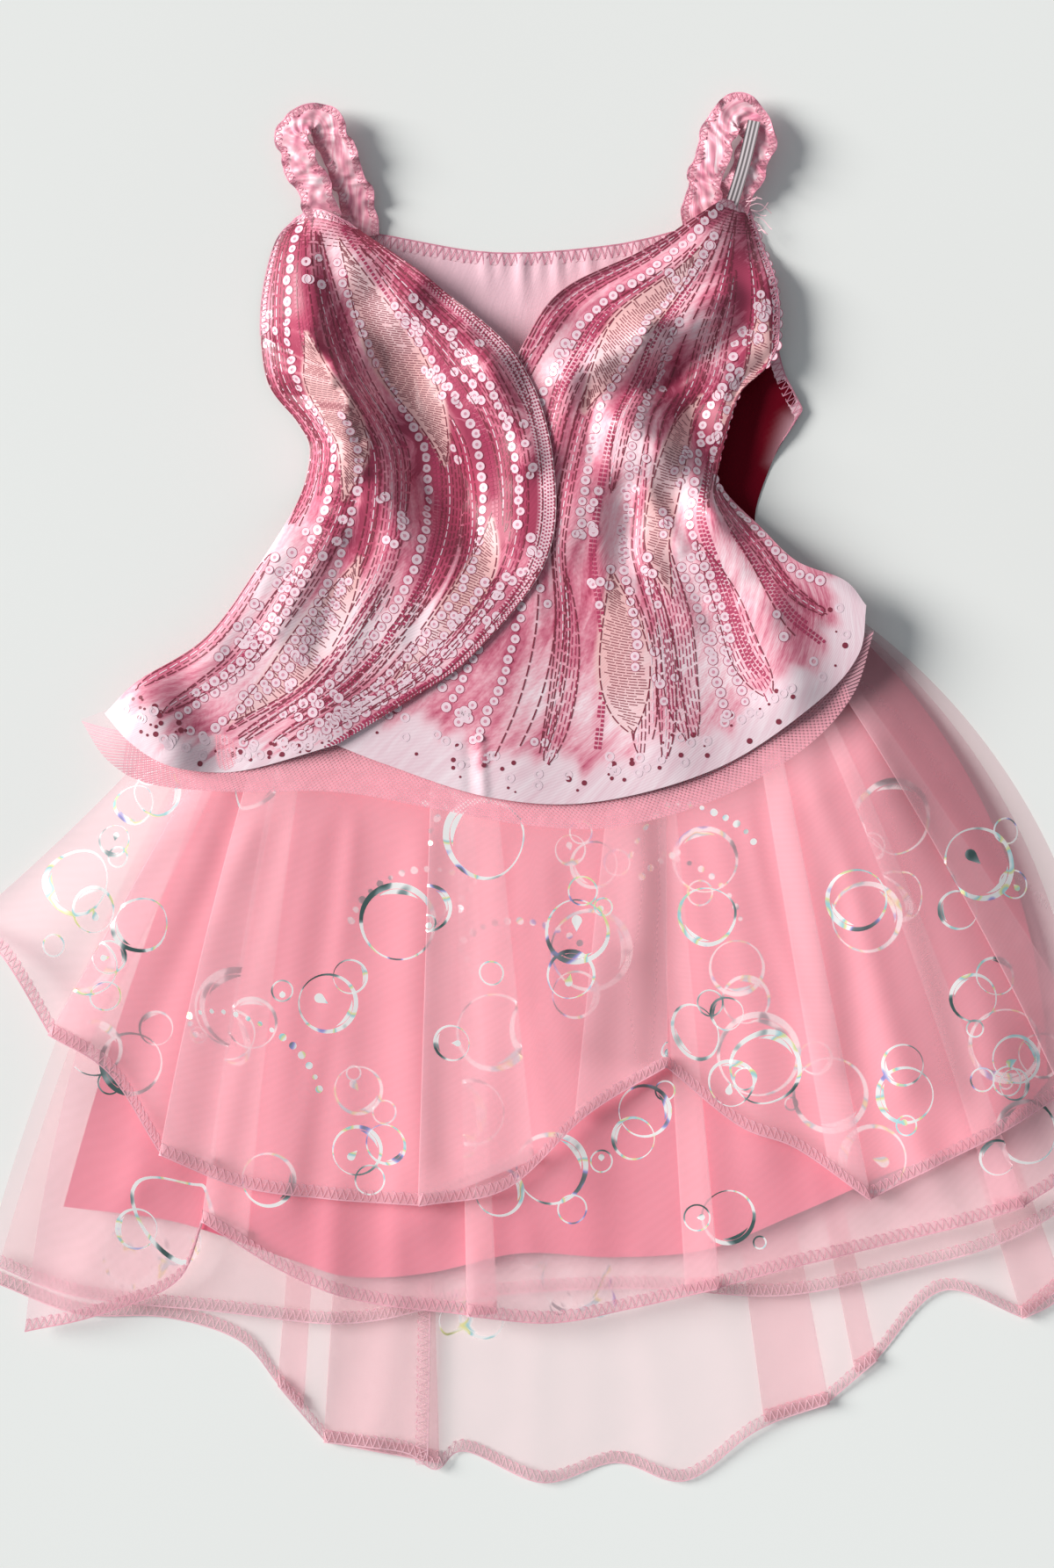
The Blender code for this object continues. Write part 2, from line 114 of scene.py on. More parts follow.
def setCamera():
    tall = view["tall"] * view["pixelMm"] * mm
    data = bpy.data.cameras.new("photoView")
    data.sensor_fit = "VERTICAL"
    data.sensor_height = view["sensor"]
    data.lens = view["sensor"] * (view["height"] - view["plane"]) / tall
    made = bpy.data.objects.new("photoView", data)
    made.location = (*view["centre"], view["height"])
    bpy.context.scene.collection.objects.link(made)
    bpy.context.scene.camera = made


def setLights():
    row = light["window"]
    data = bpy.data.lights.new("window", "SUN")  # one tall window, far enough off to light the table evenly
    data.angle = math.radians(row["spread"])
    data.energy = row["power"]
    data.color = linear(row["colour"])[:3]
    made = bpy.data.objects.new("window", data)
    x, y, z = row["from"]
    made.location = row["from"]
    made.rotation_euler = (math.atan2(math.hypot(x, y), z), 0.0, math.atan2(-y, -x) - math.pi / 2)
    bpy.context.scene.collection.objects.link(made)
    world = bpy.data.worlds.new("studio")
    world.use_nodes = True
    colour, strength = light["sky"]
    world.node_tree.nodes["Background"].inputs["Color"].default_value = linear(colour)
    world.node_tree.nodes["Background"].inputs["Strength"].default_value = strength
    bpy.context.scene.world = world
    bpy.context.scene.view_settings.view_transform = "Standard"
    bpy.context.scene.cycles.transparent_max_bounces = 64  # many sheer layers lie on each other


def setFloor():
    bpy.ops.object.select_all(action="DESELECT")
    bpy.ops.mesh.primitive_plane_add(size=table["size"], location=(0, 0, -table["gap"]))
    floor = bpy.context.object
    floor.name = "tableTop"
    made, tree, shader, place = newMaterial("paintedTable", {"Roughness": 0.6}, flat=False)  # white board, matt
    cloud = addNode(tree, "TexNoise", {"Scale": 1.4, "Detail": 2.0}, {"Vector": place})
    shade = addNode(tree, "ValToRGB", links={"Fac": cloud.outputs["Fac"]}, stops=table["tones"])
    feed(shader, "Base Color", shade.outputs["Color"])
    floor.data.materials.append(made)


# Room and shape of the layers, as in the solids
cloth = {
    "wall": 1.0,
    "seamGap": 0.3,
    "backRoom": 1.5,
    "plainRoom": 1.6,
    "levelStep": 1.6,
    "netRoom": 1.5,
    "wrapRoom": 2.1,
    "wrapFade": 30.0,
    "waistY": 115.0,
    "sinkStart": 8.0,
    "sinkLength": 110.0,
    "sinkLeast": 0.5,
    "backMargin": 45.0,
    "backFade": 60.0,
    "puff": 17.0,  # how high the fronts stand up, and how far in from their edges
    "puffEdge": 16.0,
    "puffPower": 1.2,
    "frontMargin": 4.0,
    "frontFade": 40.0,
    "peplumFade": 60.0,
    "peplumRise": 3.0,
    "peplumStart": 20.0,  # under the waist
    "peplumBlend": 50.0,
    "peplumFoldBlend": 25.0,
    "foldStart": 0.3,  # a tuck's share of its full width at the waist
    "foldSteps": 9,
    "foldTurn": (-60, -30, 0, 30, 60),  # degrees round a fold's edge
    "tuckLower": 2.5,
    "sideDrop": (0.55, 0.94),  # left and right
    "sideWidth": (44.0, 62.0),
}
cloth["tableZ"] = cloth["wall"] / 2
cloth["seamZ"] = cloth["wall"] * 1.5 + cloth["seamGap"]
cloth["pleatRoom"] = 2 * cloth["levelStep"] + cloth["wall"] + 0.5
cloth["pile"] = 3 * cloth["pleatRoom"] + 3 * cloth["plainRoom"]

outline = {
    "sideLeft": [(-134, 209), (-118, 187), (-112, 172), (-119, 144), (-139, 110), (-164, 76), (-198, 54),
                 (-216, 37)],
    "sideRight": [(118, 134), (137, 115), (162, 105), (173, 92)],
    "wrapArmhole": [(-119, 293), (-130, 279), (-137, 245)],
    "wrapTop": [(-119, 293), (-108, 296), (-90, 288)],
    "wrapEdge": [(-90, 288), (-45, 256), (-4, 218), (13, 169), (10, 115), (-27, 67), (-58, 45), (-97, 21)],
    "wrapHem": [(-216, 37), (-202, 22), (-184, 11), (-162, 7), (-139, 9), (-97, 21)],
    "rightTop": [(100, 301), (114, 299)],
    "rightArmhole": [(114, 299), (127, 259), (129, 236), (126, 220), (110, 207), (98, 175), (97, 158), (118, 134)],
    "rightEdge": [(100, 301), (84, 290), (58, 274), (18, 254), (-2, 226), (-13, 200), (-25, 160), (-36, 115),
                  (-58, 79), (-90, 47), (-112, 27)],
    "rightHem": [(-112, 27), (-72, 11), (-18, -6), (36, -8), (99, 10), (148, 43), (169, 67), (173, 92)],
    "backTop": [(-115, 285), (-81, 285), (-18, 275), (45, 279), (92, 290), (112, 291)],
    "backArmholeLeft": [(-115, 285), (-127, 259), (-130, 232)],
    "backArmholeRight": [(112, 291), (124, 250), (129, 226), (133, 211), (140.6, 196.4), (141.6, 194),
                         (140.4, 191.4), (126, 166)],
    "backHem": [(-216, 37), (-180, 21), (-150, 17), (-100, 24), (-60, 12), (0, 3), (90, 14), (140, 45), (165, 72),
                (173, 92)],
    "netOuter": [(-229, 34), (-214, 13), (-192, 1), (-150, -3), (-97, -3), (-45, -12), (0, -20), (45, -21),
                 (96, -7), (140, 18), (166, 46), (177, 79)],
    "netInner": [(-196, 46), (-182, 33), (-166, 27), (-138, 27), (-97, 32), (-50, 24), (-4, 14), (36, 12), (82, 27),
                 (118, 50), (138, 66), (150, 84)],
}

# Ridges above 0 and troughs below: two ends, height, half width
frontFolds = [
    (-118, 262, -92, 196, 4.0, 15), (-92, 196, -97, 130, 8.0, 15), (-97, 130, -140, 66, 5.0, 17),
    (-70, 250, -28, 205, -2.5, 16), (-6, 185, -6, 120, -5.5, 22), (58, 214, 52, 150, 5.0, 16),
    (76, 178, 78, 125, -4.0, 10), (95, 190, 104, 150, 3.5, 11),
]
peplumFolds = [
    (-196, 44, -180, 18, 7.5, 16), (-172, 52, -158, 16, -2.6, 13), (-118, 80, -104, 40, 3.0, 18),
    (-20, 60, -10, 10, 1.8, 22), (60, 80, 72, 20, 3.0, 20), (122, 92, 134, 50, 7.0, 17),
]
# Deep soft folds of the satin, on top of the ones above
deepFolds = [
    (-103, 276, -93, 226, -5.2, 9), (-112, 232, -94, 196, 5.8, 9), (-90, 192, -106, 152, 5.4, 11),
    (-84, 246, -66, 208, -8.1, 13), (-68, 208, -42, 154, -12.6, 17), (-42, 154, -22, 116, -9.4, 16),
    (-74, 150, -58, 108, 4.6, 12), (-84, 281, -44, 249, -6.2, 13), (-44, 249, -4, 212, -5.6, 12),
    (76, 281, 24, 250, -5.6, 12), (-54, 254, -18, 212, 4.7, 12), (-18, 212, 0, 168, 6.1, 11),
    (0, 168, -5, 126, 4.1, 11), (22, 208, 60, 231, 6.0, 8), (60, 231, 102, 251, 5.4, 8),
    (36, 192, 74, 215, -6.4, 8), (74, 215, 112, 236, -5.6, 8), (40, 190, 72, 169, 8.1, 11),
    (72, 169, 97, 139, 9.5, 11), (97, 139, 113, 110, 6.8, 11), (72, 204, 92, 190, -9.5, 12),
    (92, 190, 106, 160, -9.5, 10), (50, 150, 52, 114, -6.8, 9), (24, 150, 20, 118, 3.4, 10),
]
# Small creases: the same columns
creases = [
    (-136, 240, -108, 226, 4.5, 3.8), (-134, 229, -104, 214, -4.4, 3.0), (-129, 214, -100, 204, 5.1, 3.4),
    (-124, 203, -96, 195, -3.8, 3.0), (-118, 192, -90, 188, 4.4, 3.4), (-113, 176, -86, 176, -3.1, 3.4),
    (-112, 163, -84, 160, 3.6, 3.8), (-116, 150, -88, 146, -2.4, 3.4), (-122, 140, -96, 128, 3.1, 4.2),
    (-84, 226, -58, 180, 2.2, 5), (-76, 196, -52, 144, -1.8, 4.5), (-62, 232, -36, 196, -1.5, 5),
    (-40, 196, -22, 150, 1.8, 5), (-30, 232, -8, 200, 1.4, 4.5), (-104, 122, -128, 78, 2.4, 6),
    (-92, 118, -108, 66, -1.4, 6), (-120, 116, -152, 72, -1.5, 5), (-136, 96, -168, 58, 1.8, 6),
    (-70, 120, -92, 70, 1.7, 7), (-48, 112, -58, 74, -1.1, 6), (20, 196, 12, 152, 1.8, 5),
    (30, 214, 34, 168, -1.7, 5), (12, 236, 34, 250, 1.3, 4.5), (44, 254, 84, 272, 1.7, 5),
    (54, 218, 96, 238, 1.7, 3.5), (66, 206, 104, 226, -1.6, 4), (84, 236, 118, 240, 1.8, 4.5),
    (90, 222, 120, 228, -1.7, 4), (70, 186, 90, 158, 1.8, 5), (84, 170, 96, 138, 2.0, 4.5),
    (90, 152, 112, 128, -1.7, 4), (98, 150, 126, 118, 1.5, 5), (62, 150, 78, 122, 1.7, 5),
    (36, 142, 38, 96, 1.4, 6), (8, 140, 4, 92, 1.3, 7), (60, 104, 88, 94, -1.3, 5), (56, 122, 84, 84, 1.8, 7),
    (88, 112, 124, 86, 1.5, 6), (108, 108, 146, 84, 1.1, 5), (-24, 24, -22, -4, 1.3, 2.2),
    (-30, 20, -29, -2, -0.7, 2.2),
]

# Each skirt from its left side to its right: x at the waist, x and y at the hem, how far the line between them
# bows out, and the pleat level there. A tuck has its depth in place of a level, and the side that it goes to.
skirtTables = {
    "topSkirt": [
        (-115, -290, -72, 8, 0.2), (-114, -268, -88, 6, 1.1), (-112, -244, -127, 2, 18, "right"),
        (-110, -214, -146, 0, 0.9), (-107, -187, -188, -6, 26, "right"), (-90, -148, -204, -2, 1.5),
        (-72, -100, -211, 0, 0.1), (-45, -55, -214, 0, 58, "right"), (-14, -10, -205, 0, 2.0),
        (26, 30, -168, 0, 2.0), (70, 71, -143, 0, 46, "left"), (88, 108, -173, 0, 0.6),
        (98, 138, -185, 2, 1.3), (110, 175, -211, 0, 20, "left"), (113, 208, -194, 4, 0.9),
        (116, 242, -177, 6, 0.0), (118, 276, -158, 6, 16, "right"), (122, 292, -135, 20, 0.8),
        (126, 296, -110, 32, 0.2),
    ],
    "middleSkirt": [
        (-115, -258, -280, -26, 0.1), (-113, -220, -271, -14, 1.2), (-111, -180, -254, -6, 0.2),
        (-106, -166, -223, -4, 22, "right"), (-92, -122, -250, 0, 1.3), (-70, -84, -264, 0, 0.2),
        (-38, -30, -271, 0, 14, "right"), (0, 12, -275, 0, 1.0), (32, 52, -268, 0, 0.0),
        (64, 98, -257, 0, 16, "left"), (84, 134, -247, 0, 1.2), (100, 180, -236, 0, 0.1),
        (110, 222, -225, 4, 1.0), (116, 254, -215, 8, 14, "left"), (122, 278, -198, 26, 0.5),
        (126, 288, -172, 44, 0.1),
    ],
    "liningFront": [
        (-115, -238, -216, -8, 0.0), (-106, -180, -224, -4, 0.0), (-86, -122, -243, 0, 0.0),
        (-62, -90, -252, 0, 0.0), (-36, -50, -250, 0, 0.0), (0, -4, -240, 0, 0.0), (30, 45, -242, 0, 0.0),
        (60, 92, -238, 0, 0.0), (88, 138, -220, 0, 0.0), (108, 190, -197, 2, 0.0), (118, 238, -181, 8, 0.0),
        (126, 268, -152, 38, 0.0),
    ],
    "liningBack": [
        (-115, -234, -206, -8, 0.0), (-86, -124, -234, 0, 0.0), (-36, -50, -240, 0, 0.0),
        (30, 45, -232, 0, 0.0), (88, 140, -210, 0, 0.0), (126, 262, -146, 34, 0.0),
    ],
    "backMiddle": [
        (-115, -279, -244, -16, 0.0), (-108, -232, -262, -6, 0.0), (-92, -160, -270, 0, 0.0),
        (-60, -90, -276, 0, 0.0), (-10, -20, -262, 0, 0.0), (40, 60, -258, 0, 0.0), (80, 130, -262, 0, 0.0),
        (106, 190, -250, 0, 0.0), (118, 245, -234, 8, 0.0), (126, 284, -212, 44, 0.0),
    ],
    "backLong": [
        (-115, -275, -256, -14, 0.0), (-112, -232, -272, -6, 0.0), (-106, -186, -274, 0, 0.0),
        (-100, -148, -286, 0, 0.7), (-92, -128, -309, 0, 12, "right"), (-76, -104, -338, 0, 58, "right"),
        (-52, -64, -343, 0, 2.0), (-40, -47, -352, 0, 1.9), (-26, -32, -343, 0, 0.0), (-4, 8, -359, 0, 0.9),
        (16, 46, -349, 0, 0.0), (34, 82, -358, 0, 1.1), (52, 118, -332, 0, 1.7),
        (74, 155, -318, 0, 32, "left"), (90, 180, -296, 0, 10, "left"), (104, 214, -260, 2, 0.2),
        (114, 256, -274, 6, 20, "right"), (120, 274, -264, 12, 0.6), (126, 286, -240, 46, 0.0),
    ],
}


def ease(t):
    t = np.clip(t, 0.0, 1.0)
    return t * t * (3 - 2 * t)


def spline(before, start, end, after, t):  # between start and end, on a smooth curve through all four
    return start + 0.5 * t * (end - before + t * (2 * before - 5 * start + 4 * end - after
                                                  + t * (3 * start - before - 3 * end + after)))


def unit(vectors):
    return vectors / np.maximum(np.linalg.norm(vectors, axis=-1)[..., None], 1e-9)


def travelled(path):  # how far each point is along a path
    return np.insert(np.cumsum(np.linalg.norm(np.diff(path, axis=0), axis=1)), 0, 0.0)


def curve(points, count):  # evenly spaced points on a smooth curve
    points = np.array(points, float)
    if len(points) == 2:
        return points[0] + np.linspace(0, 1, count)[:, None] * (points[1] - points[0])
    ends = np.vstack([2 * points[0] - points[1], points, 2 * points[-1] - points[-2]])
    t = np.linspace(0, 1, 16, endpoint=False)[:, None]
    fine = [spline(*four, t) for four in zip(ends[:-3], ends[1:-2], ends[2:-1], ends[3:])]
    fine = np.vstack(fine + [points[-1:]])
    far = travelled(fine[:, :2])
    at = np.linspace(0, far[-1], count)
    return np.stack([np.interp(at, far, fine[:, k]) for k in range(fine.shape[1])], axis=1)


def onOutline(count, *names):  # evenly spaced points on the named outlines, end to end
    return curve(sum((outline[name] for name in names), []), count)


def distanceTo(points, line):
    best = np.full(len(points), np.inf)
    for a, b in zip(line[:-1], line[1:]):
        run = b - a
        share = np.clip((points - a) @ run / max(run @ run, 1e-9), 0, 1)
        best = np.minimum(best, np.linalg.norm(points - a - share[:, None] * run, axis=1))
    return best


def outside(points, ringPoints):  # distance outside a closed outline, 0 inside
    ring = np.vstack([ringPoints, ringPoints[:1]])
    inside = np.zeros(len(points), bool)
    for (ax, ay), (bx, by) in zip(ring[:-1], ring[1:]):
        if ay == by:
            continue
        spans = (points[:, 1] < ay) != (points[:, 1] < by)
        inside ^= spans & (points[:, 0] < (bx - ax) * (points[:, 1] - ay) / (by - ay) + ax)
    return np.where(inside, 0.0, distanceTo(points, ring))


def foldsHeight(points, folds):
    height = np.zeros(len(points))
    for x0, y0, x1, y1, high, wide in folds:
        off = distanceTo(points, np.array([(x0, y0), (x1, y1)], float))
        height += high * np.exp(-((off / wide) ** 2))
    return height


def column(waistX, hemX, hemY, bulge, rows):
    waist, hem = np.array([waistX, cloth["waistY"]]), np.array([hemX, hemY])
    across = np.array([waist[1] - hem[1], hem[0] - waist[0]])
    across = across / np.linalg.norm(across)
    t = np.linspace(0, 1, rows)[:, None]
    return waist + t * (hem - waist) + 4 * t * (1 - t) * bulge * across


def sideLine(name, which):  # a skirt's left side, 0, or its right one, -1
    return column(*skirtTables[name][which][:4], 9)


def skirtOutline(name):
    first, last = sideLine(name, 0), sideLine(name, -1)
    hem = np.array([row[1:3] for row in skirtTables[name]], float)
    return np.vstack([first, hem[1:-1], last[::-1]])


def foldColumns(named, rows):
    edge = column(named["waistX"], named["hemX"], named["hemY"], named["bulge"], rows)
    openTo = np.linspace(cloth["foldStart"], 1.0, rows)[:, None]
    towards = 1 if named["kind"] == "right" else -1
    fall = np.linspace(0, 1, rows)[:, None] ** 2
    inner = edge + openTo * np.array([towards * named["tuck"], 0.0]) + fall * np.array([0.0, named["rise"]])
    radius = cloth["levelStep"] / 2
    runs = []
    flats = ((edge, inner, 0.0, 0.0), (inner, edge, 1.0, 1.0), (edge, edge, 2.0, 2.0))
    for number, (start, end, low, high) in enumerate(flats):
        shares = np.linspace(0, 1, cloth["foldSteps"]) if number < 2 else [0.0]
        for share in shares:
            runs.append((start + share * (end - start), low + share * (high - low)))
        if number < 2:
            base, way = (inner, towards) if number == 0 else (edge, -towards)
            for angle in np.radians(cloth["foldTurn"]):
                shift = np.array([way * radius * math.cos(angle), 0.0])
                runs.append((base + shift, number + 0.5 + 0.5 * math.sin(angle)))
    return runs if named["kind"] == "right" else runs[::-1]


def asStation(waistX, hemX, hemY, bulge, level, kind="plain"):
    return {"kind": kind, "waistX": waistX, "hemX": hemX, "hemY": hemY, "bulge": bulge, "level": level,
            "tuck": 0 if kind == "plain" else level}


def skirtGrid(stations, rows, between):  # plan points and pleat levels, columns from left to right
    named = [asStation(*station) for station in stations]
    hemX, hemY = [row["hemX"] for row in named], [row["hemY"] for row in named]
    for row in named:  # a tuck's hidden end follows the hem in front of it
        away = row["tuck"] * (1 if row["kind"] == "right" else -1)
        row["rise"] = float(np.interp(row["hemX"] + away, hemX, hemY)) - row["hemY"] + cloth["tuckLower"]
    keys = []
    for row in named:
        if row["kind"] == "plain":
            keys.append([(column(row["waistX"], row["hemX"], row["hemY"], row["bulge"], rows), row["level"])])
        else:
            keys.append(foldColumns(row, rows))
    columns = list(keys[0])
    for number in range(1, len(keys)):
        (start, low), (end, high) = columns[-1], keys[number][0]
        plainBefore, plainHere = (named[k]["kind"] == "plain" for k in (number - 1, number))
        back = keys[number - 2][-1][0] if plainBefore and number > 1 else 2 * start - end
        after = keys[number + 1][0][0] if plainHere and number + 1 < len(keys) else 2 * end - start
        for step in range(1, between + 1):
            t = step / (between + 1)
            columns.append((spline(back, start, end, after, t), low + float(ease(t)) * (high - low)))
        columns += keys[number]
    return np.array([points for points, _ in columns]), np.array([level for _, level in columns])


def sink(points):
    away = outside(points, skirtOutline("liningFront")) - cloth["sinkStart"]
    return 1 - (1 - cloth["sinkLeast"]) * ease(away / cloth["sinkLength"])


def backOutline():
    sides = [onOutline(24, "backArmholeLeft", "sideLeft")[::-1], onOutline(12, "backTop")]
    sides += [onOutline(16, "backArmholeRight", "sideRight"), onOutline(16, "backHem")[::-1]]
    return np.vstack(sides)


def overBack(points):
    away = outside(points, backOutline()) - cloth["backMargin"]
    return cloth["backRoom"] * (1 - ease(away / cloth["backFade"]))


def riseFromSides(points, width):  # 0 at the bodice's sides and armholes, 1 well inside them
    sides = onOutline(30, "wrapArmhole", "sideLeft")
    armhole = curve(outline["rightArmhole"] + outline["sideRight"][1:], 24)
    inward = np.minimum(distanceTo(points, sides), distanceTo(points, armhole))
    return 1 - np.exp(-((inward / width) ** cloth["puffPower"]))


def frontHeight(points, peplum=True):
    rise = riseFromSides(points, cloth["puffEdge"])
    hollow = cloth["seamZ"] + rise * (cloth["puff"] + foldsHeight(points, frontFolds))
    low = cloth["seamZ"] + cloth["netRoom"] + rise * cloth["peplumRise"]
    belowWaist = ease((cloth["waistY"] - cloth["peplumStart"] - points[:, 1]) / cloth["peplumBlend"])
    hollow += belowWaist * (low - hollow)
    fade = cloth["frontFade"] + (cloth["peplumFade"] - cloth["frontFade"]) * belowWaist
    onSkirts = 1 - ease((outside(points, skirtOutline("topSkirt")) - cloth["frontMargin"]) / fade)
    pile = cloth["tableZ"] + cloth["backRoom"] + cloth["pile"] + cloth["netRoom"]
    height = hollow + onSkirts * (pile - hollow)
    if peplum:
        below = ease((cloth["waistY"] - points[:, 1]) / cloth["peplumFoldBlend"])
        height += below * foldsHeight(points, peplumFolds)
    return height


def patch(top, right, bottom, left, across, down):
    top, bottom = curve(top, across), curve(bottom, across)
    left, right = curve(left, down), curve(right, down)
    u = np.linspace(0, 1, across)[:, None, None]
    v = np.linspace(0, 1, down)[None, :, None]
    ruled = (1 - v) * top[:, None] + v * bottom[:, None] + (1 - u) * left[None] + u * right[None]
    corners = (1 - u) * ((1 - v) * top[0] + v * bottom[0]) + u * ((1 - v) * top[-1] + v * bottom[-1])
    return ruled - corners


def withHeight(plan, heightOf):
    flat = plan.reshape(-1, 2)
    return np.dstack([plan, heightOf(flat).reshape(plan.shape[:2])])


# meshes
def gridNormals(grid):
    return unit(np.cross(np.gradient(grid, axis=1), np.gradient(grid, axis=0)))


def lengths(grid, axis):  # how far each point is along its row or column, in mm
    steps = np.linalg.norm(np.diff(grid, axis=axis), axis=2)
    return np.insert(np.cumsum(steps, axis=axis), 0, 0.0, axis=axis)


def link(name, points, faces, materials, slots=None, uv=None, attributes=None):
    mesh = bpy.data.meshes.new(name)
    mesh.from_pydata((np.asarray(points) * mm).tolist(), [], [tuple(f) for f in faces])
    for material in materials:
        mesh.materials.append(material)
    if slots is not None:
        mesh.polygons.foreach_set("material_index", np.asarray(slots, np.int32))
    if uv is not None:
        corner = np.empty(len(mesh.loops), np.int32)
        mesh.loops.foreach_get("vertex_index", corner)
        layer = mesh.uv_layers.new(name="clothMm")
        layer.data.foreach_set("uv", np.asarray(uv, np.float32)[corner].ravel())
    for key, values in (attributes or {}).items():
        made = mesh.attributes.new(key, "FLOAT", "POINT")
        made.data.foreach_set("value", np.asarray(values, np.float32))
    mesh.shade_smooth()
    made = bpy.data.objects.new(name, mesh)
    bpy.context.scene.collection.objects.link(made)
    return made


def gridMesh(name, grid, material, attributes=None):
    columns, rows = grid.shape[:2]
    index = np.arange(columns * rows).reshape(columns, rows)
    faces = np.stack([index[:-1, :-1], index[:-1, 1:], index[1:, 1:], index[1:, :-1]], axis=-1).reshape(-1, 4)
    middle = lengths(grid, 0)
    uv = np.dstack([middle, lengths(grid, 1)]).reshape(-1, 2)
    flat = {key: np.asarray(values).ravel() for key, values in (attributes or {}).items()}
    return link(name, grid.reshape(-1, 3), faces.tolist(), [material], uv=uv, attributes=flat)


def sample(field, i, j):  # values of a grid between its points
    i = np.clip(i, 0, field.shape[0] - 1.001)
    j = np.clip(j, 0, field.shape[1] - 1.001)
    a, b = i.astype(int), j.astype(int)
    s, t = (i - a)[..., None], (j - b)[..., None]
    return ((1 - s) * (1 - t) * field[a, b] + s * (1 - t) * field[a + 1, b]
            + (1 - s) * t * field[a, b + 1] + s * t * field[a + 1, b + 1])


def ribbons(paths, normals, halfWidth):  # flat threads: (count, points, 3) each
    side = unit(np.cross(normals, np.gradient(paths, axis=1)))
    half = np.asarray(halfWidth, float).reshape(-1, 1, 1) if np.ndim(halfWidth) else halfWidth
    points = np.stack([paths - side * half, paths + side * half], axis=2)
    count, steps = paths.shape[:2]
    index = np.arange(count * steps * 2).reshape(count, steps, 2)
    faces = np.stack([index[:, :-1, 0], index[:, 1:, 0], index[:, 1:, 1], index[:, :-1, 1]], axis=-1)
    return points.reshape(-1, 3), faces.reshape(-1, 4)


def join(parts):  # several (points, faces, slot) as one
    points, faces, slots, start = [], [], [], 0
    for piece, sides, slot in parts:
        points.append(piece)
        faces += (np.asarray(sides) + start).tolist()
        slots += [slot] * len(sides)
        start += len(piece)
    return np.vstack(points), faces, slots


def strip(edges):  # the faces between two lines of points, given pair by pair
    index = np.arange(edges.shape[0] * 2).reshape(-1, 2)
    return edges.reshape(-1, 3), np.stack([index[:-1, 0], index[1:, 0], index[1:, 1], index[:-1, 1]], axis=-1)


def joined(name, parts, materials, shadow=True, onCloth=False):
    points, faces, slots = join(parts)
    piece = link(name, points, faces, materials, slots, uv=points[:, :2] if onCloth else None)
    declare(piece, None)
    piece.visible_shadow = shadow
    return piece


def declare(piece, node):
    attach(piece, "root")
    if node:
        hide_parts(node)


setCamera()
setLights()
setFloor()
print("stage: camera, light and table")

# materials
sheer = {"pink": ("#F1BEC8", 0.40), "pale": ("#E2B3BB", 0.29)}


def organza(name, colour, alpha):  # polyester organza: fine crisp open weave, a wavy moire where layers cross
    made, tree, shader, place = newMaterial(name, {"Roughness": 0.5, "Alpha": alpha, "Sheen Weight": 0.15,
                                                   "Sheen Roughness": 0.4, "Specular IOR Level": 0.35})
    drift = addNode(tree, "TexNoise", {"Scale": 0.03, "Detail": 3.0}, {"Vector": place})
    ripple = addNode(tree, "TexWave", {"Scale": 0.075, "Distortion": 14.0, "Detail": 2.0,
                                                 "Detail Scale": 0.16}, {"Vector": place},
                     bands_direction="DIAGONAL")  # moire lines, 4 to 6 mm apart as in the real cloth
    both = addNode(tree, "Math", {1: 0.16}, {0: ripple.outputs["Fac"]}, operation="MULTIPLY")
    both = addNode(tree, "Math", links={0: both.outputs[0], 1: drift.outputs["Fac"]}, operation="ADD")
    mixed = mottled(tree, colour, 0.90, 1.08, both.outputs[0])
    paintedShadeColour = tinted(tree, mixed, "shade", "#B27E87")  # painted shade on the side away from the window and along the big folds
    feed(shader, "Base Color", paintedShadeColour)
    return made


def liningCloth(name, colour):  # plain woven polyester lining: matt, opaque, a faint thread grain
    made, tree, shader, place = newMaterial(name, {"Roughness": 0.55, "Sheen Weight": 0.2,
                                                   "Specular IOR Level": 0.3})
    grain = addNode(tree, "Mapping", {"Scale": (1.1, 0.06, 1)}, {"Vector": place})
    noise = addNode(tree, "TexNoise", {"Scale": 1.0, "Detail": 2.0}, {"Vector": grain.outputs["Vector"]})
    mixed = mottled(tree, colour, 0.94, 1.05, noise.outputs["Fac"])
    # painted shade: the lining darkens where the shade attribute says
    feed(shader, "Base Color", tinted(tree, mixed, "shade", "#A55A69"))
    bump = addNode(tree, "Bump", {"Strength": 0.15, "Distance": 0.0002}, {"Height": noise.outputs["Fac"]})
    feed(shader, "Normal", bump.outputs["Normal"])
    return made


def plainSatin(name, colour, deep):  # the unprinted side of polyester satin: smooth, a soft directional gleam
    made, tree, shader, place = newMaterial(name, {"Roughness": 0.4, "Sheen Weight": 0.06, "Sheen Roughness": 0.35,
                                                   "Specular IOR Level": 0.3})
    grain = addNode(tree, "Mapping", {"Scale": (0.9, 0.05, 1)}, {"Vector": place})
    noise = addNode(tree, "TexNoise", {"Scale": 1.0, "Detail": 3.0}, {"Vector": grain.outputs["Vector"]})
    mixed = mottled(tree, colour, 0.92, 1.05, noise.outputs["Fac"])
    # painted shade: goes over to the deep colour in the folded armhole
    feed(shader, "Base Color", tinted(tree, mixed, "deep", deep))
    armholeShadeMask = addNode(tree, "Attribute", attribute_name="deep")  # painted shade: the armhole gleams less where its shade is painted
    dull = addNode(tree, "Math", {1: -0.27, 2: 0.3}, {0: armholeShadeMask.outputs["Fac"]}, operation="MULTIPLY_ADD")
    feed(shader, "Specular IOR Level", dull.outputs[0])
    net = addNode(tree, "TexVoronoi", {"Scale": 0.55}, {"Vector": place})  # dots 1.8 mm apart
    relief = addNode(tree, "Math", {1: 0.5}, {0: net.outputs["Distance"], 2: noise.outputs["Fac"]},
                     operation="MULTIPLY_ADD")
    bump = addNode(tree, "Bump", {"Strength": 0.25, "Distance": 0.0003}, {"Height": relief.outputs[0]})
    feed(shader, "Normal", bump.outputs["Normal"])
    return made


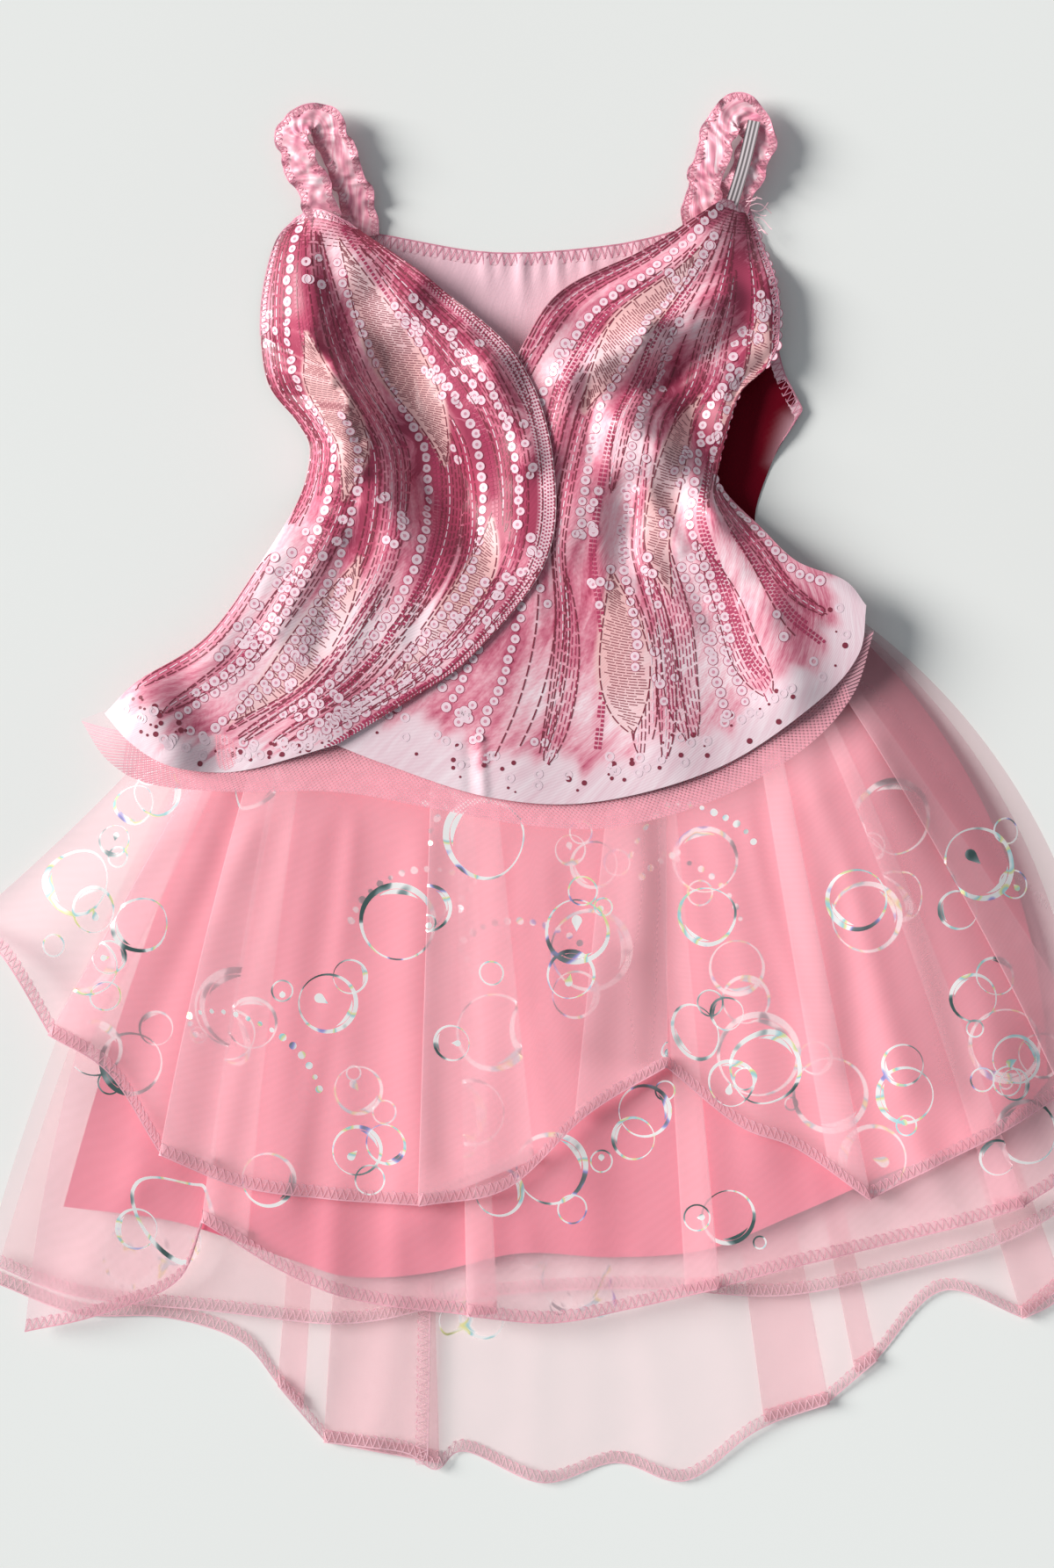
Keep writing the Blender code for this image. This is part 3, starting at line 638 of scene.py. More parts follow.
finish = {
    "topSkirt": organza("organzaPinkTop", *sheer["pink"]),
    "middleSkirt": organza("organzaPinkMiddle", *sheer["pink"]),
    "backMiddle": organza("organzaPaleMiddle", *sheer["pale"]),
    "backLong": organza("organzaPaleLong", *sheer["pale"]),
    "lining": liningCloth("wovenLining", "#E16F88"),
    # the last colour is the painted shade of the folded armhole
    "backSatin": plainSatin("plainSatin", "#FACEDA", "#6A0A1C"),
}

# Skirts from the table up, below is how many layers lie under each
skirts = {
    "backLong": {"node": "back_skirt_long", "slot": "pale_organza", "finish": "backLong", "below": 0},
    "backMiddle": {"node": "back_skirt_middle", "slot": "pale_organza", "finish": "backMiddle", "below": 1},
    "liningBack": {"node": "lining_back", "slot": "lining", "finish": "lining", "below": 2},
    "liningFront": {"node": "lining_front", "slot": "lining", "finish": "lining", "below": 3},
    "middleSkirt": {"node": "middle_skirt_front", "slot": "organza", "finish": "middleSkirt", "below": 4},
    "topSkirt": {"node": "top_skirt_front", "slot": "organza", "finish": "topSkirt", "below": 5},
}
skirtMesh = {"rows": 90, "between": 11, "betweenFew": 30, "few": 8}  # columns between two stations
skirtShade = {"share": 0.7, "width": 70.0, "from": -150.0, "blend": 130.0}  # painted shade by the side away from the window
roomBelow = [0.0, cloth["pleatRoom"], cloth["pleatRoom"] + cloth["plainRoom"],
             cloth["pleatRoom"] + 2 * cloth["plainRoom"], cloth["pleatRoom"] + 3 * cloth["plainRoom"],
             2 * cloth["pleatRoom"] + 3 * cloth["plainRoom"]]
pileEnds = {"below": [(-290, -420), (296, -420)], "right": (292, -160)}
grids = {}


def sideFall(points):  # the pile of layers slopes down to the table at both sides
    left, right = sideLine("topSkirt", 0), sideLine("topSkirt", -1)
    around = np.vstack([left, pileEnds["below"], right[::-1]])
    right = np.vstack([right, [pileEnds["right"]]])
    inside = outside(points, around) == 0
    share = np.ones(len(points))
    for side, drop, width in zip((left, right), cloth["sideDrop"], cloth["sideWidth"]):
        away = np.where(inside | (points[:, 0] * side[0, 0] < 0), distanceTo(points, side), 0.0)
        share = np.minimum(share, 1 - drop * (1 - ease(away / width)))
    return share


def layerHeight(points, below):
    if below:
        return cloth["tableZ"] + cloth["backRoom"] + below * sink(points) * sideFall(points)
    return cloth["tableZ"] + overBack(points)


# Soft folds of all the skirt layers together: two ends, height, half width. They start below the flounce.
skirtFolds = [
    (-140, 20, -258, -84, 2.6, 9), (-176, 18, -282, -60, 1.6, 6), (-150, 10, -236, -150, 3.4, 10),
    (-168, -40, -262, -236, 2.2, 9), (-136, 0, -205, -205, 2.0, 6), (-136, 0, -186, -196, 3.6, 9),
    (-118, -6, -164, -248, 1.8, 5), (-104, -4, -132, -212, 2.8, 8), (-84, -4, -104, -300, 2.0, 7),
    (-88, 0, -118, -214, 1.4, 4), (-54, -10, -57, -222, 4.0, 9), (-36, -14, -34, -190, 1.6, 5),
    (-18, -14, -20, -320, 2.2, 8), (-4, -20, 8, -184, 1.5, 5), (10, -20, 20, -200, 3.0, 9),
    (32, -18, 36, -330, 1.6, 8), (58, -18, 70, -150, 3.8, 8), (80, -10, 92, -130, 1.4, 5),
    (94, -8, 124, -190, 2.2, 8), (90, -150, 112, -330, 2.2, 8), (110, 4, 146, -146, 1.3, 4),
    (126, 10, 174, -216, 4.2, 9), (138, 20, 196, -150, 1.8, 5), (146, 24, 206, -205, 2.8, 8),
    (156, 34, 232, -190, 1.6, 5), (164, 44, 262, -186, 3.4, 9), (174, 60, 282, -120, 1.8, 6),
    (180, 70, 290, -96, 2.4, 8), (-64, -200, -78, -346, 2.6, 6), (-96, -210, -112, -330, 2.0, 6),
    (-30, -240, -34, -350, 1.4, 5), (0, -230, 6, -356, 2.2, 7), (60, -240, 66, -352, 1.5, 6),
    (150, -200, 160, -318, 2.0, 6), (200, -180, 236, -268, 2.4, 7), (236, -170, 276, -256, 1.6, 6),
    (-200, -200, -236, -270, 2.0, 7), (168, 40, 246, -230, 6.5, 26),
]


skirtFold = {
    "waistEnds": [(126, 115), (-115, 115)],
    "start": (1.0, 26.0),  # below the flounce, and over what length
    "bow": (3.0, 5.0),  # how far each fold snakes, and how quickly
    "height": (0.5, 0.55, 0.45),  # of the table's height, its share at the waist, what the hem adds
    "widen": 0.6,
}


def skirtRise(points):
    flounce = np.vstack([onOutline(40, "netOuter"), skirtFold["waistEnds"]])
    start = ease((outside(points, flounce) - skirtFold["start"][0]) / skirtFold["start"][1])
    bend, turns = skirtFold["bow"]
    part, atWaist, more = skirtFold["height"]
    height = np.zeros(len(points))
    for x0, y0, x1, y1, high, wide in skirtFolds:
        a, run = np.array([x0, y0]), np.array([x1 - x0, y1 - y0])
        share = np.clip((points - a) @ run / (run @ run), 0, 1)
        bow = bend * np.sin(share * turns + x0)[:, None] * np.array([1.0, 0.0])
        off = np.linalg.norm(points - a - share[:, None] * run - bow, axis=1)
        wide = wide * (1.0 + skirtFold["widen"] * share)
        height += part * high * (atWaist + more * share) * np.exp(-((off / wide) ** 2))
    return start * height


# Painted shade along the big folds: two ends, amount, half width
foldShade = [
    (66, 40, 60, -138, 0.62, 9), (48, -90, 38, -134, 0.4, 12), (150, 20, 164, -146, 0.3, 7),
    (-40, 60, -46, -190, 0.3, 7), (-96, 40, -150, -130, 0.1, 7), (188, -10, 216, -150, 0.5, 17),
]


def makeSkirts():
    right = sideLine("topSkirt", -1)
    for name, row in skirts.items():
        between = skirtMesh["between" if len(skirtTables[name]) > skirtMesh["few"] else "betweenFew"]
        plan, levels = skirtGrid(skirtTables[name], skirtMesh["rows"], between)
        flat = plan.reshape(-1, 2)
        height = layerHeight(flat, roomBelow[row["below"]]).reshape(plan.shape[:2])
        height = height + cloth["levelStep"] * levels[:, None] + skirtRise(flat).reshape(height.shape)
        grids[name] = np.dstack([plan, height])
        # painted shade, carried to the materials by the shade attribute
        shade = skirtShade["share"] * ease(1 - distanceTo(flat, right) / skirtShade["width"])
        shade = shade * ease((flat[:, 1] - skirtShade["from"]) / skirtShade["blend"])
        shade = np.clip(shade + foldsHeight(flat, foldShade), 0, 1)
        piece = gridMesh(name, grids[name], finish[row["finish"]], {"shade": shade})
        declare(piece, row["node"])
        if row["slot"] in ("organza", "pale_organza"):
            piece.visible_shadow = False  # light passes the open weave


makeSkirts()
print("stage: skirts")

# overlocked edges
overlock = {
    "depth": 5.6,  # from the edge to the needle line
    "pitch": 3.9,
    "thread": 0.21,  # half the thread's width
    "edge": 0.34,
    "needle": 0.22,
    "over": 0.25,  # how far the loops stand out past the cloth
    "crown": 0.35,
    "wobble": 0.08,
    "lift": 0.25,
}


def polish(name, colour, roughness=0.5):  # spun polyester thread: a soft gleam, no fuzz to speak of
    made, tree, shader, place = newMaterial(name, {"Roughness": roughness, "Sheen Weight": 0.3}, flat=False)
    noise = addNode(tree, "TexNoise", {"Scale": 260.0, "Detail": 2.0}, {"Vector": place})
    feed(shader, "Base Color", mottled(tree, colour, 0.82, 1.15, noise.outputs["Fac"]))
    return made


finish.update({
    "hemThread": polish("overlockThread", "#EDABBA"),
    "paleThread": polish("paleOverlockThread", "#F2BFCA"),
    "strapThread": polish("strapOverlockThread", "#D88BA1"),
})


def edgeFrame(grid, side):  # points, inward and normal along one edge of a grid
    rows = {"bottom": (grid[:, -1], grid[:, -4]), "top": (grid[:, 0], grid[:, 3]),
            "right": (grid[-1], grid[-4]), "left": (grid[0], grid[3])}
    normals = gridNormals(grid)
    faces = {"bottom": normals[:, -1], "top": normals[:, 0], "right": normals[-1], "left": normals[0]}
    points, inner = rows[side]
    return points, unit(inner - points), faces[side]


def evenly(points, step, *more):  # resampled by length
    along = travelled(points)
    at = np.linspace(0, along[-1], max(2, int(along[-1] / step)))
    return [np.stack([np.interp(at, along, field[:, k]) for k in range(3)], axis=1) for field in (points, *more)]


def overlockParts(points, inward, normal, depth=None, pitch=None):
    depth, pitch = depth or overlock["depth"], pitch or overlock["pitch"]
    points, inward, normal = evenly(points, pitch / 2, points * 0 + inward, points * 0 + normal)
    lift = normal * overlock["lift"]
    wobble = 1 + overlock["wobble"] * np.sin(np.arange(len(points)) * 2.1)
    outer = points - inward * overlock["over"] + lift
    inner = points + inward * depth * wobble[:, None] + lift
    legs = np.where((np.arange(len(points)) % 2)[:, None] == 0, outer, inner)
    start, stop = legs[:-1], legs[1:]
    middle = (start + stop) / 2 + normal[:-1] * overlock["crown"]
    zig = np.stack([start, middle, stop], axis=1)
    up = np.repeat(normal[:-1, None], 3, axis=1)
    edge = np.stack([outer[:-1], outer[1:]], axis=1)
    needle = np.stack([inner[:-1] + 0.1 * (inner[1:] - inner[:-1]), inner[1:]], axis=1)[::2]
    needle = needle - lift[:-1][::2, None] * 0.4
    parts = [(*ribbons(zig, up, overlock["thread"]), 0), (*ribbons(edge, up[:, :2], overlock["edge"]), 0),
             (*ribbons(needle, up[::2, :2], overlock["needle"]), 1)]
    band = np.stack([points + lift * 0.3, points + inward * depth + lift * 0.3], axis=1)
    return parts + [(*strip(band), 2)]


def foldEdge(grid, x=-47, reach=5):  # the back long skirt's wide fold ends at an overlocked edge
    hem = grid[:, -1]
    number = int(np.argmax(np.where(abs(hem[:, 0] - x) < reach, hem[:, 2], -1)))
    line = grid[number, grid.shape[1] // 2:]
    return line, np.tile([-1.0, 0.0, 0.0], (len(line), 1)), np.tile([0.0, 0.0, 1.0], (len(line), 1))


def hemSkirts():
    for name in ("backLong", "backMiddle", "middleSkirt", "topSkirt"):
        parts = overlockParts(*edgeFrame(grids[name], "bottom"))
        pale = name.startswith("back")
        if name == "backLong":
            parts += overlockParts(*foldEdge(grids[name]))
        inks = [finish["paleThread" if pale else "hemThread"], finish["hemThread"], finish[name]]
        joined(name + "Hem", parts, inks, onCloth=True)


hemSkirts()
print("stage: overlocked hems")

# Foil rings on the sheer skirts
foil = {
    "topSkirt": {"groups": 22, "seed": 11, "area": (-262, -190, 262, 50)},
    "middleSkirt": {"groups": 20, "seed": 23, "area": (-235, -256, 262, 0)},
    "backLong": {"groups": 4, "seed": 5, "area": (-230, -280, 270, -180)},
    "lift": 0.3,
    "radius": (12.0, 22.0),
    "small": (3.5, 9.0),
    "dot": 1.9,
    "dotStep": 6.6,
    "steps": 48,
    "apart": 38.0,  # between the middles of two groups
    "tries": 2500,
    "thinBelow": 8.0,
    "first": 1.6,  # the first small ring of a group is this much bigger
    "away": (0.85, 1.45),  # from the big ring's middle, in its radii
    "discs": 0.25,  # share of the rings with a spot
    "onTop": 0.75,  # share that lies on the upper side of a fold
    "trailRoom": (70, 70, 30, 60),  # left, right, below, above
    "trailReach": (34, 52),
    "trailTurn": (-0.6, 1.2),
    "trailArc": 2.4,
    "dotSides": 10,
    "dotUneven": (0.6, 1.1),
    "trails": {"backLong": 0, "middleSkirt": 3, "topSkirt": 3},
}
motif = {  # in shares of a ring's radius, the line and the spot's least in mm
    "line": 0.85,
    "spot": (1.6, 0.16, 0.35),  # least, radius, how far off the middle
    "crescent": (0.90, 0.058),  # inner radius, shift
    "bow": (0.80, 0.10, 0.3, 0.7),  # radius, width, share of the width outwards, half angle
}
# painted reflections: mirror silver, pale rainbow and dark patches, in the base colour
foilPaintedReflections = [(0.34, "#47605F"), (0.39, "#8FA3A5"), (0.42, "#FFFDFC"), (0.50, "#FFFFFF"), (0.53, "#A9DFE6"),
               (0.55, "#F2EFA2"), (0.57, "#FFFDFC"), (0.62, "#FFFFFF"), (0.645, "#ABA4E6"), (0.67, "#7C868B"),
               (0.75, "#474D52")]


def foilFilm(name):  # hologram foil, heat pressed on: its mirror silver, pale rainbow and dark patches are painted reflections
    values = {"Roughness": 0.3, "Metallic": 0.2, "Coat Weight": 0.2}
    made, tree, shader, place = newMaterial(name, values, flat=False)
    noise = addNode(tree, "TexNoise", {"Scale": 34.0, "Detail": 2.0, "Roughness": 0.6}, {"Vector": place})
    colour = addNode(tree, "ValToRGB", links={"Fac": noise.outputs["Fac"]}, stops=foilPaintedReflections)
    feed(shader, "Base Color", colour.outputs["Color"])
    return made


finish["foil"] = foilFilm("hologramFoil")


def nearCell(grid, x, y, top):
    plan = grid[..., :2]
    cost = ((plan - np.array([x, y])) ** 2).sum(axis=2)
    near = cost < cost.min() + 9
    pick = np.where(near, grid[..., 2] if top else -grid[..., 2], -1e9)
    return np.unravel_index(int(pick.argmax()), pick.shape)


def clothPath(grid, rowLength, columnLength, cell, offsets):  # plan offsets in mm as grid places, through the folds
    i0, j0 = cell
    jn = int(np.clip(j0, 2, grid.shape[1] - 3))
    down = grid[i0, jn + 2, :2] - grid[i0, jn - 2, :2]
    down /= np.linalg.norm(down)
    side = grid[min(i0 + 7, len(grid) - 1), j0, :2] - grid[max(i0 - 7, 0), j0, :2]
    side = side / np.linalg.norm(side) if side[0] > 6 else np.array([1.0, 0.0])
    shares = np.linalg.solve(np.stack([side, down], axis=1), offsets.T)
    j = np.interp(columnLength[i0, j0] + shares[1], columnLength[i0], np.arange(grid.shape[1]))
    rows = np.clip(np.round(j).astype(int), 0, grid.shape[1] - 1)
    i = np.array([np.interp(rowLength[i0, r] + dx, rowLength[:, r], np.arange(grid.shape[0]))
                  for r, dx in zip(rows, shares[0])])
    return i, j


def foilMotif(kind, radius, turn, steps):  # (inner, outer) plan offsets of a band
    angle = np.linspace(0, 2 * math.pi, steps)
    ring = np.stack([np.cos(angle), np.sin(angle)], axis=1)
    way = np.array([math.cos(turn), math.sin(turn)])
    if kind == "thin":
        return ring * (radius - motif["line"]), ring * radius
    if kind == "disc":  # a spot off the middle
        least, size, off = motif["spot"]
        return ring * 0.01, ring * max(least, radius * size) + radius * off * way
    if kind == "crescent":  # a ring that is thick on one side
        inner, shift = motif["crescent"]
        return ring * (radius * inner) + shift * radius * way, ring * radius
    at, wide, outwards, half = motif["bow"]  # a short bow inside the ring
    arc = turn + math.pi + np.linspace(-half, half, max(8, steps // 2))
    bow = np.stack([np.cos(arc), np.sin(arc)], axis=1)
    width = wide * radius * np.sin(np.linspace(0, math.pi, len(arc)))[:, None]
    return bow * (radius * at - width), bow * (radius * at + width * outwards)


def foilOn(name):
    row, grid = foil[name], grids[name]
    dice = np.random.default_rng(row["seed"])
    normals = gridNormals(grid)
    rowLength, columnLength = lengths(grid, 0), lengths(grid, 1)
    x0, y0, x1, y1 = row["area"]
    around = skirtOutline(name)
    parts, centres, tries = [], [], 0
    while len(centres) < row["groups"] and tries < foil["tries"]:  # spread over the skirt
        tries += 1
        x, y = dice.uniform(x0, x1), dice.uniform(y0, y1)
        crowded = any(math.hypot(x - a, y - b) < foil["apart"] for a, b in centres)
        if not crowded and outside(np.array([[x, y]]), around)[0] == 0:
            centres.append((x, y))
    rings = []
    for x, y in centres:
        big = dice.uniform(*foil["radius"])
        rings.append((x, y, big))
        for number in range(int(dice.integers(0, 4))):
            small = dice.uniform(*foil["small"]) * (foil["first"] if number == 0 else 1.0)
            angle = dice.uniform(0, 2 * math.pi)
            away = big * dice.uniform(*foil["away"])
            rings.append((x + away * math.cos(angle), y + away * math.sin(angle), small))
    for x, y, radius in rings:
        kinds = ["thin"] if radius < foil["thinBelow"] else ["crescent", "bow"]
        kinds += ["disc"] if dice.random() < foil["discs"] else []
        cell = nearCell(grid, x, y, dice.random() < foil["onTop"])
        turn = dice.uniform(0, 2 * math.pi)
        for kind in kinds:
            both = []
            for offsets in foilMotif(kind, radius, turn, foil["steps"]):
                i, j = clothPath(grid, rowLength, columnLength, cell, offsets)
                both.append(sample(grid, i, j) + foil["lift"] * sample(normals, i, j))
                off = (j >= grid.shape[1] - 1.01) | (j <= 0.01) | (i <= 0.01) | (i >= grid.shape[0] - 1.01)
            points, faces = strip(np.stack(both, axis=1))
            keep = ~(off[:-1] | off[1:])
            if keep.any():
                parts.append((points, faces[keep][:, [0, 3, 2, 1]], 0))
    for _ in range(foil["trails"][name]):  # dots on a bow
        left, right, below, above = foil["trailRoom"]
        x, y = dice.uniform(x0 + left, x1 - right), dice.uniform(y0 + below, y1 - above)
        cell = nearCell(grid, x, y, True)
        reach, turn = dice.uniform(*foil["trailReach"]), dice.uniform(*foil["trailTurn"])
        dots = int(reach * foil["trailArc"] / foil["dotStep"])
        angle = turn + np.arange(dots) * foil["dotStep"] / reach
        centres = reach * np.stack([np.cos(angle) - math.cos(turn), np.sin(angle) - math.sin(turn)], axis=1)
        ring = np.linspace(0, 2 * math.pi, foil["dotSides"], endpoint=False)
        for centre in centres:
            size = foil["dot"] * dice.uniform(*foil["dotUneven"])
            offsets = centre + size * np.stack([np.cos(ring), np.sin(ring)], axis=1)
            i, j = clothPath(grid, rowLength, columnLength, cell, offsets)
            if j.max() < grid.shape[1] - 2 and 1 < i.min() and i.max() < grid.shape[0] - 2:
                points = sample(grid, i, j) + foil["lift"] * sample(normals, i, j)
                parts.append((points, [list(range(len(points)))[::-1]], 0))
    joined(name + "Foil", parts, [finish["foil"]], False)


for name in ("backLong", "middleSkirt", "topSkirt"):
    foilOn(name)
print("stage: foil")

# bodice
panels = {  # mesh is columns and rows
    "backPanel": {"node": "back_panel", "slot": "plain_satin", "mesh": (110, 110)},
    "frontRight": {"node": "front_right", "slot": "printed_satin", "mesh": (150, 170), "seed": 4},
    "frontWrap": {"node": "front_wrap", "slot": "printed_satin", "mesh": (140, 180), "seed": 9},
}
printInk = {
    "wine": "#85293F",
    "rose": "#B4375F",
    "tan": "#94525C",
    "sequin": "#EFD3DE",
    "hole": "#D794A9",
    "row": 2.0,  # from one row of stitches to the next
    "uneven": (0.8, 1.2),  # of a row's stitch length
    "leafRow": 1.45,
    "leafTilt": 0.012,
    "leafLeast": 1.5,  # a leaf's tip is empty where it is narrower than this
    "rim": 1.04,
    "over": 0.05,  # rims and outlines lie over the rows
    "sequinRadius": 2.45,
    "sequinStep": 5.6,
    "sequinStray": 0.5,
    "sequinUneven": (0.85, 1.08),
    "beadStep": 2.2,
    "lift": 0.12,
    "inside": (0.005, 0.995),
    "samples": (0.004, 0.996, 260),  # of v, down the panel
    "thinning": (1.1, 0.55),  # share of the stitches that stay, and how much the dye's depth and its painted shade and light change it
    "hemFrom": {"frontWrap": 0.93, "frontRight": 0.905},
}
# Inner and outer radius, height over the print, ink, sides
sequinRings = [(0.98, 1.12, 0.02, 1, 14), (0.36, 1.0, 0.04, 3, 14), (0.01, 0.4, 0.03, 4, 8)]
stitches = {  # length, gap and half the thread's width
    "shoulder": (2.4, 0.9, 0.2),
    "rows": (3.9, 1.5, 0.26),
    "leaf": (4.2, 0.7, 0.26),
    "rim": (5.2, 1.2, 0.3),
    "outline": (6.0, 1.3, 0.36),
    "beads": (1.5, 0.8, 0.8),
    "borderDots": (0.9, 1.0, 0.42),
}
shoulderRows = {"from": 1.2, "to": 17.0, "step": 1.7, "squeeze": 0.55, "across": (0.04, 0.96), "points": 40}
heaps = {"count": 30, "across": (0.03, 0.97), "down": (0.12, 0.76, 0.7), "size": (2, 9), "spread": (3.2, 0.022)}
spots = {"count": 44, "across": (0.03, 0.97), "radius": (0.5, 1.6), "dotsTo": 0.985, "ringsTo": 0.97,
         "ring": (1.2, 2.5)}

# Printed bands lie side by side across a panel, u from its left edge and v down from its top. Each wanders
# on its own, so that some meet and some leave a gap. The kinds follow in this turn, over and over.
bandKinds = [
    # kind, share of the width, thread (0 wine, 1 rose, 2 tan), depth of the dye under it
    ("rows", 0.060, 0, 0.62),
    ("sequins", 0.020, 0, 0.30),
    ("rows", 0.045, 1, 0.72),
    ("outline", 0.020, 0, 0.70),
    ("rows", 0.070, 1, 0.45),
    ("rows", 0.050, 1, 0.55),
    ("ladder", 0.100, 2, 0.30),
    ("sequins", 0.020, 0, 0.60),
    ("beads", 0.040, 1, 0.50),
    ("rows", 0.075, 0, 0.66),
    ("outline", 0.020, 0, 0.35),
    ("rows", 0.050, 0, 0.78),
    ("sequins", 0.020, 0, 0.45),
    ("beads", 0.030, 1, 0.62),
]
bandNames = ("kind", "share", "thread", "wash", "u", "lean", "sway", "turns", "phase", "vStart", "vEnd")
leaves = {  # broad pale leaves filled with short cross stitches; every other line stops at them
    "frontWrap": [
        ("ladder", 0.20, 2, 0.28, 0.60, 0.04, 0.03, 0.9, 0.40, 0.05, 0.44),
        ("ladder", 0.15, 2, 0.30, 0.20, -0.05, 0.02, 0.9, 0.10, 0.22, 0.50),
        ("ladder", 0.13, 2, 0.34, 0.74, 0.02, 0.02, 0.9, 0.70, 0.52, 0.80),
        ("ladder", 0.15, 2, 0.30, 0.34, 0.04, 0.02, 0.8, 0.30, 0.58, 0.90),
    ],
    "frontRight": [
        ("ladder", 0.14, 2, 0.30, 0.30, -0.04, 0.02, 0.9, 0.40, 0.08, 0.40),
        ("ladder", 0.12, 2, 0.32, 0.66, 0.03, 0.02, 0.9, 0.10, 0.34, 0.66),
        ("ladder", 0.11, 2, 0.30, 0.88, 0.02, 0.01, 0.9, 0.60, 0.16, 0.46),
        ("ladder", 0.12, 2, 0.32, 0.50, 0.02, 0.02, 0.9, 0.20, 0.60, 0.88),
    ],
}
bandCount = {"frontWrap": 25, "frontRight": 23}
bands = {}


# Where the dye lies deeper, above 0, or paler, with painted shade and painted light of the folds: two ends, amount,
# half width
dyeDepthAndPaintedLight = {
    "frontWrap": [
        (-122, 276, -114, 208, 0.56, 12), (-98, 278, -62, 228, -0.42, 10), (-56, 236, -30, 204, 0.26, 10),
        (-108, 256, -84, 196, 0.3, 9), (-50, 184, -14, 144, 0.95, 20), (-80, 200, -68, 176, -0.34, 9),
        (-92, 176, -88, 122, 0.34, 16), (-48, 126, -44, 104, 0.34, 16), (-128, 118, -140, 46, -0.3, 20),
        (-104, 76, -54, 80, -0.66, 19), (-64, 262, -20, 220, 0.26, 8),
    ],
    "frontRight": [
        (16, 212, 62, 226, -0.42, 12), (44, 176, 84, 150, -0.5, 11), (106, 266, 126, 236, 0.66, 10),
        (78, 262, 98, 272, -0.3, 12), (82, 242, 98, 222, -0.36, 8), (80, 204, 104, 174, 0.62, 13),
        (110, 222, 122, 196, 0.4, 11), (30, 136, 76, 110, -0.22, 16), (98, 118, 116, 104, -0.24, 13),
        (70, 66, 96, 58, -0.46, 19), (8, 48, 70, 26, -0.42, 17), (-20, 120, -10, 60, 0.22, 14),
        (40, 236, 64, 248, 0.24, 8),
    ],
}
wrapRim = {"share": 0.07, "clear": 1.05, "above": 0.14, "line": 0.011, "start": 0.008}  # a pale dotted border
laying = {  # chances and ranges for the bands that the dice lay out
    "starts": (0.6, (0.0, 0.10), (0.12, 0.42)),  # share that starts at the top, where those and the others start
    "ends": (0.6, (0.86, 0.95), (0.35, 0.6)),  # the others' is measured from their start
    "sides": 4,  # so many bands at each side run up to the armholes' tops
    "sideStart": 0.01,
    "share": (0.85, 1.35),
    "wash": 0.12,
    "shift": 0.008,
    "lean": 0.05,
    "sway": (0.02, 0.05),
    "turns": (0.8, 1.3),
    "phase": (0.25, 0.5, 0.08),
    "second": 0.55,  # share that has another one further along the same way
    "free": (0.3, 0.02, (0.62, 0.93)),  # above one that starts later than this, from there, or else below it
    "calm": (0.02, 0.03, 1.0),  # the second one's lean, sway and turns
    "lowest": 0.95,
}


def layBands(name, seed):
    dice = np.random.default_rng(seed)
    rows, count = [], bandCount[name]
    for number in range(count):
        kind, share, thread, wash = bandKinds[(number + seed) % len(bandKinds)]
        u = (number + 0.5) / count
        odds, early, late = laying["starts"]
        start = dice.uniform(*early) if dice.random() < odds else dice.uniform(*late)
        start = start if laying["sides"] <= number < count - laying["sides"] else laying["sideStart"]
        odds, low, short = laying["ends"]
        end = dice.uniform(*low) if dice.random() < odds else dice.uniform(start + short[0], start + short[1])
        edge = 1 - abs(2 * u - 1) ** 3
        phase, along, stray = laying["phase"]
        rows.append((kind, share * dice.uniform(*laying["share"]), thread,
                     wash + dice.uniform(-laying["wash"], laying["wash"]),
                     u + dice.uniform(-laying["shift"], laying["shift"]),
                     dice.uniform(-laying["lean"], laying["lean"]) * edge, dice.uniform(*laying["sway"]) * edge,
                     dice.uniform(*laying["turns"]), phase + along * u + dice.uniform(-stray, stray),
                     start, min(end, laying["lowest"])))
        if dice.random() < laying["second"]:
            kind, share, thread, wash = bandKinds[(3 * number + seed + 5) % len(bandKinds)]
            late, top, below = laying["free"]
            reach = (top, start) if start > late else below
            lean, sway, turns = laying["calm"]
            rows.append((kind, share, thread, wash, u, lean * edge, sway * edge, turns, phase + along * u, *reach))
    rows = leaves[name] + [row for row in rows if row[0] != "ladder"]
    bands[name] = [dict(zip(bandNames, row)) for row in rows]


def bandAt(band, v):  # centre and half share of a band at v, 0 half share past its ends
    t = (v - band["vStart"]) / (band["vEnd"] - band["vStart"])
    inside = (t >= 0) & (t <= 1)
    t = np.clip(t, 0, 1)
    centre = band["u"] + band["lean"] * (v - 0.5)
    centre = centre + band["sway"] * np.sin(2 * math.pi * (band["turns"] * v + band["phase"]))
    blunt = 0.9 if band["kind"] == "ladder" else 0.5  # leaves end in finer tips
    taper = np.sin(math.pi * np.clip(t, 0.02, 0.98)) ** blunt
    return np.clip(centre, 0.012, 0.988), np.where(inside, band["share"] / 2 * taper, 0.0)


def offLeaves(name, u, v):  # true where no broad leaf lies
    free = np.ones(np.shape(u), bool)
    for leaf in bands[name][:len(leaves[name])]:
        centre, half = bandAt(leaf, v)
        free &= abs(u - centre) > half * 1.08
    return free


def clearOfRim(name, u, v):  # true where the wrap's dotted border doesn't lie
    return (name != "frontWrap") | (u < 1 - wrapRim["share"] * wrapRim["clear"]) | (v < wrapRim["above"])


def dashesAlong(grid, normals, u, v, dash, gap, phase, lift, keep=None):
    i, j = u * (grid.shape[0] - 1), v * (grid.shape[1] - 1)
    along = travelled(sample(grid, i, j))
    starts = np.arange(phase * (dash + gap), along[-1] - dash, dash + gap)
    if not len(starts):
        return None
    at = starts[:, None] + np.linspace(0, dash, 4)
    di, dj = np.interp(at, along, i), np.interp(at, along, j)
    if keep is not None:
        good = np.interp(at.mean(axis=1), along, keep.astype(float)) > 0.5
        di, dj = di[good], dj[good]
    if not len(di):
        return None
    up = sample(normals, di, dj)
    return sample(grid, di, dj) + up * lift, up


